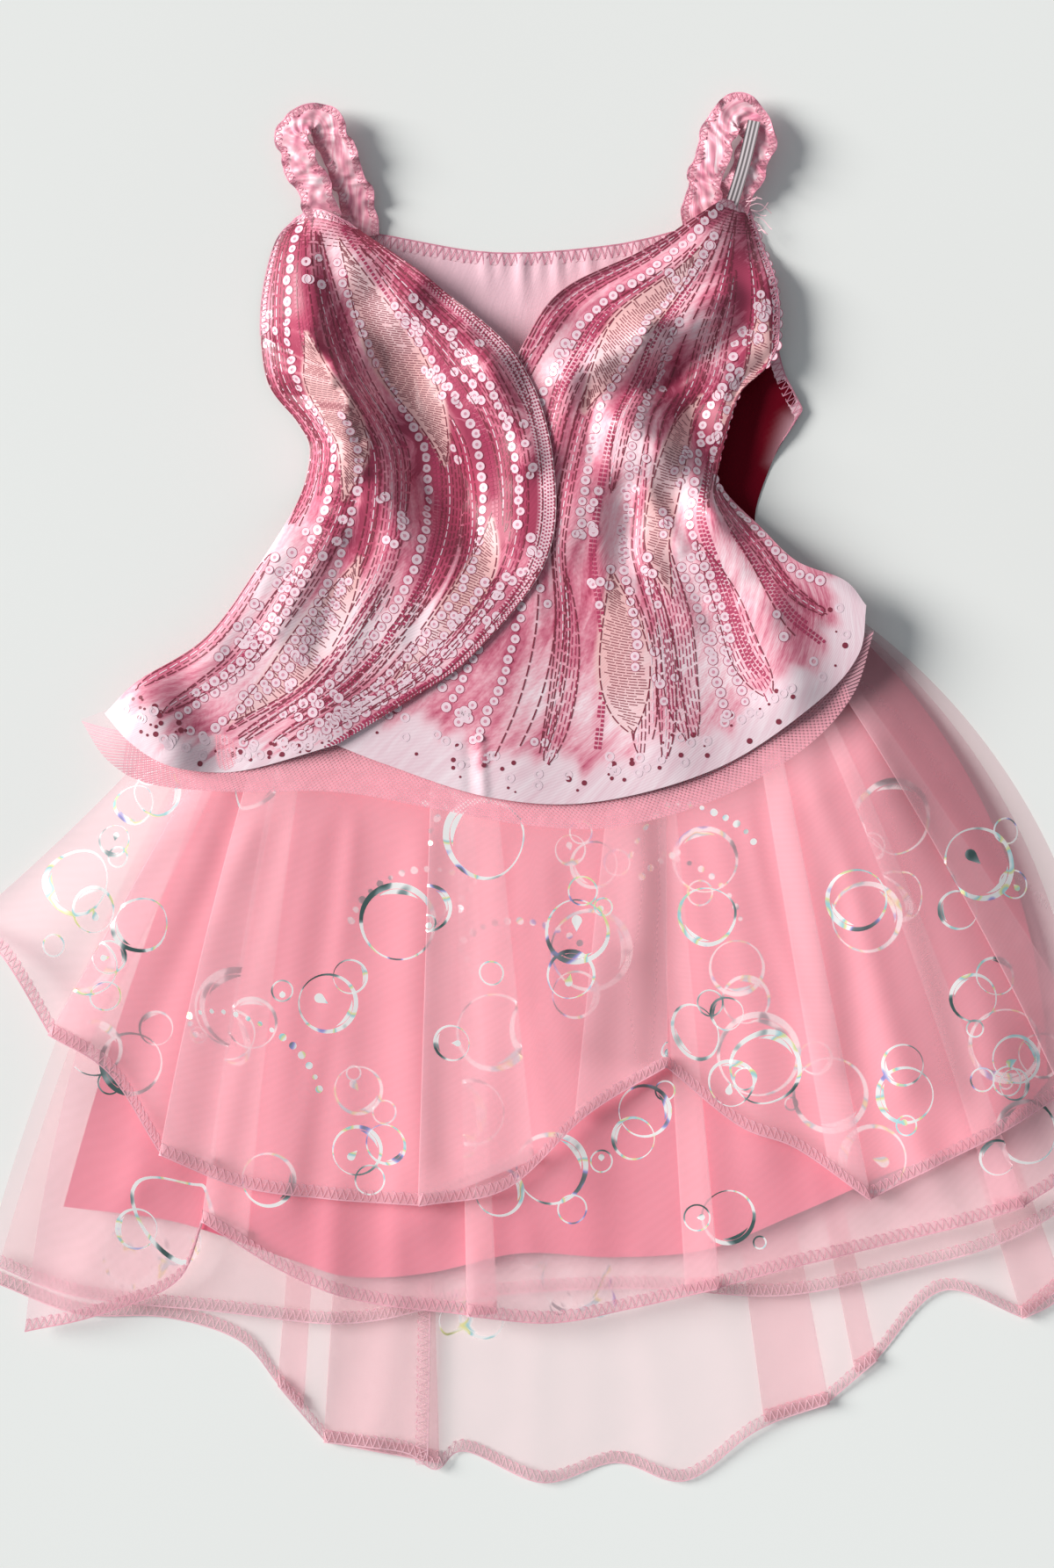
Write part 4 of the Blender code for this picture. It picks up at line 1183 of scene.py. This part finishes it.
def ringsAt(grid, normals, u, v, inner, outer, lift, sides=14):
    i, j = np.asarray(u) * (grid.shape[0] - 1), np.asarray(v) * (grid.shape[1] - 1)
    centre, up = sample(grid, i, j), sample(normals, i, j)
    first = unit(np.cross(up, np.array([0.0, 1.0, 0.0])))
    second = np.cross(up, first)
    angle = np.linspace(0, 2 * math.pi, sides, endpoint=False)
    ring = first[:, None] * np.cos(angle)[None, :, None] + second[:, None] * np.sin(angle)[None, :, None]
    inner, outer = np.reshape(inner, (-1, 1, 1)), np.reshape(outer, (-1, 1, 1))
    points = np.stack([centre[:, None] + ring * inner, centre[:, None] + ring * outer], axis=2)
    points = points + (up * lift)[:, None, None]
    index = np.arange(len(centre) * sides * 2).reshape(len(centre), sides, 2)
    after = np.roll(index, -1, axis=1)
    faces = np.stack([index[..., 0], index[..., 1], after[..., 1], after[..., 0]], axis=-1)
    return points.reshape(-1, 3), faces.reshape(-1, 4)


def printOn(name, hemFrom):
    grid, normals = grids[name], gridNormals(grids[name])
    dice = np.random.default_rng(len(name))
    wide = lengths(grid, 0)[-1]  # the panel's width at each row
    fine = np.linspace(*printInk["samples"])
    widthAt = np.interp(fine, np.linspace(0, 1, grid.shape[1]), wide)
    parts, lift = [], printInk["lift"]

    def addDashes(u, v, stitch, slot, keep=None, rise=0.0):
        dash, gap, half = stitch
        u = np.clip(u, *printInk["inside"])
        made = dashesAlong(grid, normals, u, v, dash, gap, dice.random(), lift + rise, keep)
        if made is None:
            return
        path, up = made
        most, change = printInk["thinning"]  # thinner stitching where the dye is pale and where light is painted
        stay = dice.random(len(path)) < most + change * foldsHeight(path[:, 1, :2], dyeDepthAndPaintedLight[name])
        if stay.any():
            parts.append((*ribbons(path[stay], up[stay], half), slot))

    def addLeaf(along, centre, halfMm):  # a broad leaf: short cross stitches, row under row
        tilt = printInk["leafTilt"] * np.linspace(-1, 1, 8)
        for step in np.arange(0, along[-1], printInk["leafRow"]):
            v = np.interp(step, along, fine)
            reach = np.interp(v, fine, halfMm)
            if reach >= printInk["leafLeast"]:
                u = np.interp(v, fine, centre) + np.linspace(-reach, reach, 8) / np.interp(v, fine, widthAt)
                addDashes(u, np.clip(v + tilt, 0, 1), stitches["leaf"], 2)

    row = shoulderRows
    for v in np.arange(row["from"], row["to"], row["step"]) / wide.mean() * row["squeeze"]:
        addDashes(np.linspace(*row["across"], row["points"]), np.full(row["points"], v), stitches["shoulder"], 0)
    for band in bands[name]:
        centre, half = bandAt(band, fine)
        halfMm = half * widthAt
        live, reach, kind = half > 0, halfMm.max(), band["kind"]
        along = travelled(sample(grid, centre * (grid.shape[0] - 1), fine * (grid.shape[1] - 1)))
        if kind == "rows":
            dash, gap, thin = stitches["rows"]
            for number, offset in enumerate(np.arange(-reach, reach + 0.1, printInk["row"])):
                thread = 3 if number % 4 == 2 and band["wash"] > 0.5 else band["thread"]  # a pale row now and then
                u = centre + offset / widthAt
                keep = live & (abs(offset) < halfMm) & offLeaves(name, u, fine) & clearOfRim(name, u, fine)
                if keep.any():
                    addDashes(u, fine, (dash * dice.uniform(*printInk["uneven"]), gap, thin), thread, keep)
        elif kind == "ladder":
            addLeaf(along, centre, halfMm)
        elif kind == "outline":
            addDashes(centre, fine, stitches["outline"], 0, live & offLeaves(name, centre, fine), printInk["over"])
        elif kind == "beads":
            for offset in np.arange(-reach, reach + 0.1, printInk["beadStep"]):
                u = centre + offset / widthAt
                addDashes(u, fine, stitches["beads"], 1, live & (abs(offset) < halfMm) & offLeaves(name, u, fine))
        else:
            v = np.interp(np.arange(4, along[-1] - 3, printInk["sequinStep"]), along, fine)
            v = v[np.interp(v, fine, live.astype(float)) > 0.5]
            stray = dice.normal(0, printInk["sequinStray"], len(v)) / np.interp(v, fine, widthAt)
            sequins(parts, grid, normals, np.interp(v, fine, centre) + stray, v, dice, lift)
        for side in (-1, 1) if kind in ("rows", "ladder") else ():
            rim = np.clip(centre + side * half * printInk["rim"], *printInk["inside"])
            keep = live if kind == "ladder" else live & offLeaves(name, rim, fine)
            addDashes(rim, fine, stitches["rim"], 0, keep, printInk["over"])
    for u in np.arange(wrapRim["start"], wrapRim["share"], wrapRim["line"]) if name == "frontWrap" else ():
        addDashes(np.full(len(fine), 1 - u), fine, stitches["borderDots"], 1, fine > wrapRim["above"])
    low, deep, power = heaps["down"]  # loose sequins in little heaps, mostly low down
    middle = np.stack([dice.uniform(*heaps["across"], heaps["count"]),
                       low + deep * dice.random(heaps["count"]) ** power], axis=1)
    for u0, v0 in middle:
        heap = int(dice.integers(*heaps["size"]))
        u = u0 + dice.normal(0, heaps["spread"][0], heap) / np.interp(v0, fine, widthAt)
        v = v0 + dice.normal(0, heaps["spread"][1], heap)
        good = (u > 0.02) & (u < 0.98) & (v > 0.03) & (v < 0.97)
        sequins(parts, grid, normals, u[good], v[good], dice, lift)
    count = spots["count"]  # spots and little rings on the pale border
    u, v = dice.uniform(*spots["across"], count), dice.uniform(hemFrom, spots["dotsTo"], count)
    radius = dice.uniform(*spots["radius"], count)
    parts.append((*ringsAt(grid, normals, u, v, radius * 0.02, radius, lift, 10), 0))
    u, v = dice.uniform(*spots["across"], count), dice.uniform(hemFrom, spots["ringsTo"], count)
    parts.append((*ringsAt(grid, normals, u, v, *(np.full(count, r) for r in spots["ring"]), lift), 3))
    ink = [finish[key] for key in ("inkWine", "inkRose", "inkTan", "inkSequin", "inkHole")]
    return len(joined(name + "Print", parts, ink).data.polygons)


def sequins(parts, grid, normals, u, v, dice, lift):  # a rose rim, a pale ring and a darker eye
    if not len(u):
        return
    size = printInk["sequinRadius"] * dice.uniform(*printInk["sequinUneven"], len(u))
    for inner, outer, over, ink, sides in sequinRings:
        parts.append((*ringsAt(grid, normals, u, v, size * inner, size * outer, lift + over, sides), ink))


dyeing = {
    "ground": (0.42, 0.2),  # depth between the bands, and how far it drifts
    "bleed": (1.15, 0.012, 0.016),  # how far the dye runs past a band, in half widths and in u, and its blend
    "paler": (0.1, 0.06),  # in the bands, and all over
    "top": (0.3, 0.1),  # deeper at the top, and how far down
    "paleLeaf": (0.7, 1.6),
    "borderBlend": 0.045,
    "ragged": [(0.016, 31, 0), (0.012, 73, 2), (0.008, 151, 0)],  # the border's edge: depth, waves, shift
    "rim": (0.62, 0.012, 0.04),  # how pale the wrap's border is, and its blends across and down
}


def washOf(name, grid, hemFrom):  # how deep the printed colour is, 0 pale to 1 deep, with painted shade and light of the folds in it
    u, v = np.meshgrid(np.linspace(0, 1, grid.shape[0]), np.linspace(0, 1, grid.shape[1]), indexing="ij")
    ground, drift = dyeing["ground"]
    wash = ground + drift * np.sin(9 * u + 3 * np.sin(4 * v)) * np.sin(5 * v + 2)
    tan = np.zeros_like(wash)
    for band in bands[name]:
        centre, half = bandAt(band, v)
        spread, past, blend = dyeing["bleed"]
        inBand = ease((half * spread + past - abs(u - centre)) / blend) * (half > 0)
        if band["kind"] != "ladder":
            inBand = inBand * (1 - tan)
        wash = wash + inBand * (band["wash"] - dyeing["paler"][0] - wash)
        if band["kind"] == "ladder":
            tan = np.maximum(tan, inBand)
    # painted shade and light of the folds, added to the dye's own depth
    depth = foldsHeight(grid[..., :2].reshape(-1, 2), dyeDepthAndPaintedLight[name]).reshape(wash.shape)
    wash = wash + depth + dyeing["top"][0] * (1 - ease(v / dyeing["top"][1])) - dyeing["paler"][1]
    tan = tan * (1 - dyeing["paleLeaf"][0] * np.clip(-depth * dyeing["paleLeaf"][1], 0, 1))
    ragged = sum(deep * np.sin(waves * u + shift) for deep, waves, shift in dyeing["ragged"])
    border = ease((v - hemFrom - ragged) / dyeing["borderBlend"])
    if name == "frontWrap":
        most, across, down = dyeing["rim"]
        rim = most * ease((u - 1 + wrapRim["share"]) / across) * ease((v - wrapRim["above"]) / down)
        border = np.maximum(border, rim)
    return wash * (1 - border), tan * (1 - border), border


dyeTones = {
    "dye": [(0.02, "#F8E0E8"), (0.24, "#F3C8D3"), (0.48, "#ECA8B8"), (0.72, "#D97E95"), (0.92, "#C45C78"),
            (1.0, "#AE4260")],
    "leaf": "#E9B7B7",
    "border": [(0.3, "#E9C4D0"), (0.7, "#F5E4EB")],
}


def printedSatin(name):  # polyester satin with a transfer print: watery dye streaks under a soft gleam
    made, tree, shader, place = newMaterial(name, {"Roughness": 0.44, "Sheen Weight": 0.05,
                                                   "Specular IOR Level": 0.34})
    streak = addNode(tree, "Mapping", {"Scale": (0.16, 0.030, 1)}, {"Vector": place})
    noise = addNode(tree, "TexNoise", {"Scale": 1.0, "Detail": 6.0, "Roughness": 0.62, "Distortion": 0.5},
                    {"Vector": streak.outputs["Vector"]})
    fleck = addNode(tree, "Mapping", {"Scale": (0.5, 0.35, 1)}, {"Vector": place})
    flecks = addNode(tree, "TexNoise", {"Scale": 1.0, "Detail": 3.0}, {"Vector": fleck.outputs["Vector"]})
    # wash is the print's depth with painted shade and light of the folds
    wash = addNode(tree, "Attribute", attribute_name="wash")
    spread = addNode(tree, "Math", {1: 0.5}, {0: noise.outputs["Fac"]}, operation="SUBTRACT")
    spread = addNode(tree, "Math", {1: 1.5}, {0: spread.outputs[0]}, operation="MULTIPLY")
    total = addNode(tree, "Math", links={0: wash.outputs["Fac"], 1: spread.outputs[0]}, operation="ADD")
    small = addNode(tree, "Math", {1: 0.5}, {0: flecks.outputs["Fac"]}, operation="MULTIPLY")
    total = addNode(tree, "Math", links={0: total.outputs[0], 1: small.outputs[0]}, operation="ADD")
    dye = addNode(tree, "ValToRGB", links={"Fac": total.outputs[0]}, stops=dyeTones["dye"])
    mixed = tinted(tree, dye.outputs["Color"], "tan", dyeTones["leaf"])
    border = addNode(tree, "Attribute", attribute_name="border")
    pale = addNode(tree, "ValToRGB", links={"Fac": noise.outputs["Fac"]}, stops=dyeTones["border"])
    edged = addNode(tree, "Mix", links={0: border.outputs["Fac"], 6: mixed, 7: pale.outputs["Color"]},
                    data_type="RGBA")
    feed(shader, "Base Color", edged.outputs[2])
    weave = addNode(tree, "TexWave", {"Scale": 0.22, "Distortion": 0.3}, {"Vector": place},
                    bands_direction="DIAGONAL")  # twill line, drawn at 1.4 mm so that it shows
    bump = addNode(tree, "Bump", {"Strength": 0.12, "Distance": 0.0002}, {"Height": weave.outputs["Fac"]})
    feed(shader, "Normal", bump.outputs["Normal"])
    return made


finish.update({
    "printed": printedSatin("printedSatin"),
    "inkWine": polish("printWine", printInk["wine"], 0.42),
    "inkRose": polish("printRose", printInk["rose"], 0.42),
    "inkTan": polish("printTan", printInk["tan"], 0.42),
    "inkSequin": polish("printSequin", printInk["sequin"], 0.35),
    "inkHole": polish("printSequinEye", printInk["hole"], 0.42),
})


front = {
    "foldsFrom": 13.0,  # how far in from the sides the folds reach their full height
    "waist": (96.0, 36.0),  # the peplum lies on the skirts, so no deep fold runs on below this, and its blend
    "least": 2.2,  # the deepest folds still lie this high on the back
    "soften": 1.2,
    "armholeLift": (10.0, 13.0),  # height and half width: the open armhole stands up off the back
}


def frontDetail(points):
    rise = riseFromSides(points, front["foldsFrom"])
    high = ease((points[:, 1] - front["waist"][0]) / front["waist"][1])
    height = frontHeight(points) + rise * (high * foldsHeight(points, deepFolds) + foldsHeight(points, creases))
    least = cloth["seamZ"] + front["least"] * rise
    height = least + np.log1p(np.exp((height - least) * front["soften"])) / front["soften"]
    lift, wide = front["armholeLift"]
    return height + lift * np.exp(-((distanceTo(points, curve(outline["rightArmhole"][1:7], 14)) / wide) ** 2))


def wrapDetail(points):
    under = np.vstack([onOutline(24, "rightEdge"), onOutline(8, "rightHem")[1:],
                       onOutline(3, "rightTop")[::-1]])
    return frontDetail(points) + cloth["wrapRoom"] * (1 - ease(outside(points, under) / cloth["wrapFade"]))


# Gathers under the back's neck edge: x at the edge, x where it fades, height, half width, length
gathers = [(-70, -66, 0.7, 2.4, 16), (-46, -42, 0.6, 2.0, 14), (-22, -20, 1.4, 2.6, 26), (-13, -14, 1.1, 1.8, 20),
           (-3, -2, 1.9, 2.4, 34), (7, 6, 1.2, 1.6, 22), (15, 17, 1.7, 2.2, 30), (24, 22, 1.0, 1.5, 18),
           (31, 34, 1.5, 2.4, 28), (43, 41, 0.9, 2.0, 16), (56, 60, 1.2, 2.6, 22), (72, 74, 0.6, 2.0, 14)]


back = {
    "flare": 0.5,  # a gather widens by this over its length
    "start": (3.0, 7.0),  # gathers fade in over the neck's edge
    "tuck": ([(110.0, 215.0), (133.0, 203.0)], 2.6, 7.0),  # in the armhole: ends, height, half width
    "corner": (2.5, (112, 14), (240, 20), (162, 20)),  # it lifts a little: height, from x, below y, above y
    "deep": ((46, 24), (268, 44)),  # painted shade in the folded armhole: how near, below y, each with its blend
}


def backHeight(points):
    top = onOutline(40, "backTop")
    below = np.interp(points[:, 0], top[:, 0], top[:, 1]) - points[:, 1]
    height = np.full(len(points), cloth["tableZ"])
    for x0, x1, high, wide, length in gathers:
        off = points[:, 0] - (x0 + (x1 - x0) * np.clip(below / length, 0, 1))
        across = np.exp(-((off / (wide * (1 + back["flare"] * below / length))) ** 2))
        height += high * across * (1 - ease(below / length)) * ease((below + back["start"][0]) / back["start"][1])
    ends, high, wide = back["tuck"]
    height += high * np.exp(-((distanceTo(points, np.array(ends)) / wide) ** 2))
    lift, (x, side), (top, fall), (bottom, rise) = back["corner"]
    corner = ease((points[:, 0] - x) / side) * ease((top - points[:, 1]) / fall)
    return height + lift * (corner * ease((points[:, 1] - bottom) / rise))


def makePanels():
    plan = patch(outline["backTop"], outline["backArmholeRight"] + outline["sideRight"], outline["backHem"],
                 outline["backArmholeLeft"] + outline["sideLeft"], *panels["backPanel"]["mesh"])
    grids["backPanel"] = withHeight(plan, backHeight)
    right = patch(outline["rightTop"], outline["rightArmhole"] + outline["sideRight"][1:], outline["rightHem"],
                  outline["rightEdge"], *panels["frontRight"]["mesh"])
    grids["frontRight"] = withHeight(right, frontDetail)
    wrap = patch(outline["wrapTop"], outline["wrapEdge"], outline["wrapHem"],
                 outline["wrapArmhole"] + outline["sideLeft"], *panels["frontWrap"]["mesh"])
    grids["frontWrap"] = withHeight(wrap, wrapDetail)
    for name, row in panels.items():
        printed = name != "backPanel"
        if printed:
            layBands(name, row["seed"])
            more = dict(zip(("wash", "tan", "border"), washOf(name, grids[name], printInk["hemFrom"][name])))
        else:  # painted shade in the folded armhole
            flat = grids[name][..., :2].reshape(-1, 2)
            edge = distanceTo(flat, onOutline(24, "rightArmhole"))
            (near, blend), (top, fade) = back["deep"]
            more = {"deep": ease((near - edge) / blend) * ease((top - flat[:, 1]) / fade)}
        piece = gridMesh(name, grids[name], finish["printed" if printed else "backSatin"], more)
        declare(piece, row["node"])
        if printed:
            print("print pieces on", name, printOn(name, printInk["hemFrom"][name]))


makePanels()
print("stage: bodice panels")

# net flounce
net = {"pitch": 2.5, "half": 0.2, "lean": 1.0, "plies": ((0.25, 0.0), (-0.35, 0.8)), "film": 0.13,
       "columns": 180, "rows": 16, "tones": [(0.3, "#E8A5B5"), (0.7, "#F2BFCA")]}


def makeNet():
    values = {"Base Color": linear("#EDB3C0"), "Roughness": 0.7, "Alpha": net["film"]}
    film, tree, shader, place = newMaterial("netFilm", values, flat=False)  # what the finest holes blur into
    noise = addNode(tree, "TexNoise", {"Scale": 60.0}, {"Vector": place})
    shade = addNode(tree, "ValToRGB", links={"Fac": noise.outputs["Fac"]}, stops=net["tones"])
    feed(shader, "Base Color", shade.outputs["Color"])
    outer, inner = onOutline(net["columns"], "netOuter"), onOutline(net["columns"], "netInner")
    share = np.linspace(0, 1, net["rows"])[None, :, None]
    plan = inner[:, None] + share * (outer - inner)[:, None]
    grid = withHeight(plan, lambda p: frontHeight(p, peplum=False) - cloth["netRoom"])
    normals = gridNormals(grid)
    rim = lengths(grid, 0)[:, -1]
    deep = lengths(grid, 1)[:, -1].mean()
    parts = []
    for lean in (-1, 1):
        for lift, shift in net["plies"]:
            starts = np.arange(-deep, rim[-1] + deep, net["pitch"]) + shift
            t = np.linspace(0, 1, 9)
            s = starts[:, None] + lean * net["lean"] * t * deep
            good = (s.min(axis=1) > 0.5) & (s.max(axis=1) < rim[-1] - 0.5)
            i = np.interp(s[good], rim, np.arange(len(rim)))
            j = np.broadcast_to(t * (grid.shape[1] - 1), i.shape)
            up = sample(normals, i, j)
            parts.append((*ribbons(sample(grid, i, j) + up * lift, up, net["half"]), 0))
    threads = joined("netThreads", parts, [polish("netThread", "#EDB0BE", 0.55)], False)
    sheetPiece = gridMesh("netFlounce", grid, film)
    declare(sheetPiece, "net_flounce")
    sheetPiece.visible_shadow = False


makeNet()
print("stage: net")

# straps
straps = {  # the path's columns are x, y, height and tilt in degrees
    "strapLeft": {"node": "strap_left", "path": [
        (-102, 290, 8.0, 3), (-106, 298, 10.0, 6), (-110, 307, 10.5, 10), (-115, 317, 10.5, 13),
        (-119, 327, 10.5, 17), (-120, 336, 10.5, 22), (-114, 342, 10.5, 18), (-107, 342, 10.5, 2),
        (-101, 335, 10.0, -14), (-96, 322, 9.0, -14), (-90, 308, 6.5, -9), (-86, 294, 3.8, -4),
        (-84, 283, 2.6, -2)]},
    "strapRight": {"node": "strap_right", "path": [
        (106, 296, 3.2, 2), (108, 304, 6.0, 4), (111, 312, 8.5, 6), (115.5, 321, 9.8, 8),
        (118.5, 331, 10.0, 12), (117, 340, 10.0, 16), (110, 346, 10.0, 8), (102, 343, 10.0, -8),
        (98, 333, 9.6, -15), (94, 321, 8.8, -13), (91, 307, 6.2, -8), (89, 294, 3.8, -4), (88, 284, 2.6, -2)]},
}
strapSize = {"width": 17.0, "ruffleLength": 10.5, "ruffleDepth": 1.5, "samples": 30, "across": 34,
             "puckers": 0.8, "overlock": (3.4, 2.8)}  # the overlock's depth and pitch
elastic = {"width": 6.6, "samples": 30, "across": 40, "cords": 3, "cord": 0.3}
strapTones = {
    # the pale end of the satin ramp is painted highlights on random blotches; the pinks are the satin's own
    "satin": [(0.3, "#D9809A"), (0.45, "#EDA3B5"), (0.58, "#F5BFCB"), (0.72, "#FDE8EE")],
    # painted shade: the grey of the off white elastic, darkest between its cords
    "elastic": [(0.2, "#5F585B"), (0.5, "#A1979B"), (0.9, "#CDC3C7")],
}
elasticPath = [(104.5, 297, 6.6, 2), (108, 308, 10.0, 6), (112, 322, 12.2, 12), (116.5, 341, 12.8, 14)]


def bandGrid(path, width, waves, samples, across, ruffle):
    line = curve(path, waves * samples + 1)
    centre, tilt = line[:, :3], np.radians(line[:, 3])
    going = unit(np.gradient(centre, axis=0))
    side = unit(np.cross(going, [0, 0, 1.0]))
    wide = np.cos(tilt)[:, None] * side + np.sin(tilt)[:, None] * np.array([0, 0, 1.0])
    face = np.cross(wide, going)
    phase = np.linspace(0, 2 * math.pi * waves, len(line))
    ends = ease(np.minimum(np.arange(len(line)), np.arange(len(line))[::-1]) / (samples * 1.2))
    grid = []
    for v in np.linspace(-1, 1, across + 1):  # waves that don't keep step, so that no two gathers look alike
        uneven = phase + 0.9 * v + 1.1 * np.sin(phase * 0.31 + v) + 0.5 * np.sin(phase * 0.83)
        swing = ruffle * (0.75 * np.sin(uneven) + 0.25 * np.sin(2.1 * uneven + 2 * v)) * abs(v) ** 1.8 * ends
        pucker = np.sin(phase * 0.9 + 3 * v + 2.4 * np.sin(phase * 0.43)) * np.cos(v * 3.6 + 0.6 * phase)
        pucker = pucker + 0.2 * np.sin(phase * 1.5 - 4 * v + 2.9 * np.cos(phase * 0.29 + v))
        pucker = strapSize["puckers"] * pucker * (1 - abs(v) ** 2.5) * ends
        pucker = pucker if ruffle else 0 * pucker
        flare = (0.86 + 0.14 * ends) * (1 + 0.13 * np.sin(uneven * 0.55 + 1.2 * v) * ends)
        flare = flare if ruffle else 1 + 0 * phase
        grid.append(centre + wide * (v * width / 2 * flare)[:, None] + face * (swing + pucker)[:, None])
    return np.array(grid)


def strapCloth(name):  # the same satin, gathered on elastic: small puckers with painted highlights over a deeper pink
    made, tree, shader, place = newMaterial(name, {"Roughness": 0.42, "Sheen Weight": 0.15})
    blot = addNode(tree, "TexNoise", {"Scale": 0.14, "Detail": 2.0, "Distortion": 0.8}, {"Vector": place})
    # painted highlights: the blotches' pale end
    dye = addNode(tree, "ValToRGB", links={"Fac": blot.outputs["Fac"]}, stops=strapTones["satin"])
    feed(shader, "Base Color", dye.outputs["Color"])
    bump = addNode(tree, "Bump", {"Strength": 0.25, "Distance": 0.0005}, {"Height": blot.outputs["Fac"]})
    feed(shader, "Normal", bump.outputs["Normal"])
    return made


def elasticTape(name):  # woven elastic: matt cords side by side, off white, greyed by painted shade that is darkest between the cords
    made, tree, shader, place = newMaterial(name, {"Roughness": 0.75})
    cords = addNode(tree, "TexWave", {"Scale": 0.143}, {"Vector": place},
                    bands_direction="X")  # cords 2.2 mm apart, a little coarser than real so that they show
    shade = addNode(tree, "ValToRGB", links={"Fac": cords.outputs["Fac"]}, stops=strapTones["elastic"])
    feed(shader, "Base Color", shade.outputs["Color"])
    return made


def makeStraps():
    satin, tape = strapCloth("gatheredSatin"), elasticTape("elasticTape")
    for name, row in straps.items():
        rough = curve(row["path"], 60)
        length = np.linalg.norm(np.diff(rough[:, :2], axis=0), axis=1).sum()
        waves = max(1, round(length / strapSize["ruffleLength"]))
        grid = bandGrid(row["path"], strapSize["width"], waves, strapSize["samples"], strapSize["across"],
                        strapSize["ruffleDepth"])
        parts = []
        for side in ("left", "right"):
            for under in (False, True):
                points, inward, normal = edgeFrame(grid, side)
                up = -normal if under else normal
                parts += overlockParts(points, inward, up, *strapSize["overlock"])[:3]
        threads = joined(name + "Edges", parts, [finish["strapThread"]] * 2)
        piece = gridMesh(name, grid, satin)
        declare(piece, row["node"])
    grid = bandGrid(elasticPath, elastic["width"], 1, elastic["samples"], elastic["across"], 0.0)
    ribs = elastic["cord"] * np.abs(np.sin(np.linspace(0, elastic["cords"] * math.pi, grid.shape[0])))
    grid = grid + gridNormals(grid) * ribs[:, None, None]
    piece = gridMesh("strapElastic", grid, tape)
    declare(piece, "strap_elastic")


makeStraps()
print("stage: straps")

# overlocked neck and armholes
edges = [
    # panel, side, first and last share of the edge, depth, pitch
    ("backPanel", "top", 0.0, 1.0, 6.0, 3.4),
    ("backPanel", "right", 0.0, 0.52, 5.5, 3.2),
    ("frontRight", "right", 0.0, 0.42, 4.2, 3.0),
    ("frontRight", "top", 0.0, 1.0, 4.0, 3.0),
    ("frontWrap", "left", 0.0, 0.22, 4.2, 3.0),
    ("frontWrap", "top", 0.0, 1.0, 4.0, 3.0),
]


# Cut threads that stand out at the right shoulder: root, way in degrees, length
frayed = [((112, 299), 12, 9), ((114, 297), -6, 12), ((116, 294), 8, 7), ((117, 291), -18, 10), ((113, 300), 34, 6),
          ((118, 288), -30, 6), ((115, 296), 22, 10), ((119, 285), -12, 5), ((111, 300), 52, 5)]


frayedShape = {"bend": (0.22, 3.4), "height": (8.0, 1.5, 2.6), "half": 0.2}  # each with its waves


def frayedThreads():
    paths = []
    bent, turns = frayedShape["bend"]
    base, rise, waves = frayedShape["height"]
    for (x, y), way, length in frayed:
        t, turn = np.linspace(0, 1, 9), math.radians(way)
        bend = length * bent * np.sin(t * turns + way)
        paths.append(np.stack([x + t * length * math.cos(turn) - bend * math.sin(turn),
                               y + t * length * math.sin(turn) + bend * math.cos(turn),
                               base + rise * np.sin(t * waves + x)], axis=1))
    paths = np.array(paths)
    return *ribbons(paths, np.broadcast_to([0.0, 0.0, 1.0], paths.shape), frayedShape["half"]), 1


def edgePanels():
    parts = [frayedThreads()]
    for name, side, first, last, depth, pitch in edges:
        points, inward, normal = edgeFrame(grids[name], side)
        a, b = int(first * len(points)), int(last * len(points))
        parts += overlockParts(points[a:b], inward[a:b], normal[a:b], depth, pitch)
    inks = [finish["strapThread"], finish["paleThread"], finish["backSatin"]]
    joined("panelEdges", parts, inks, onCloth=True)


edgePanels()
print("stage: panel edges")
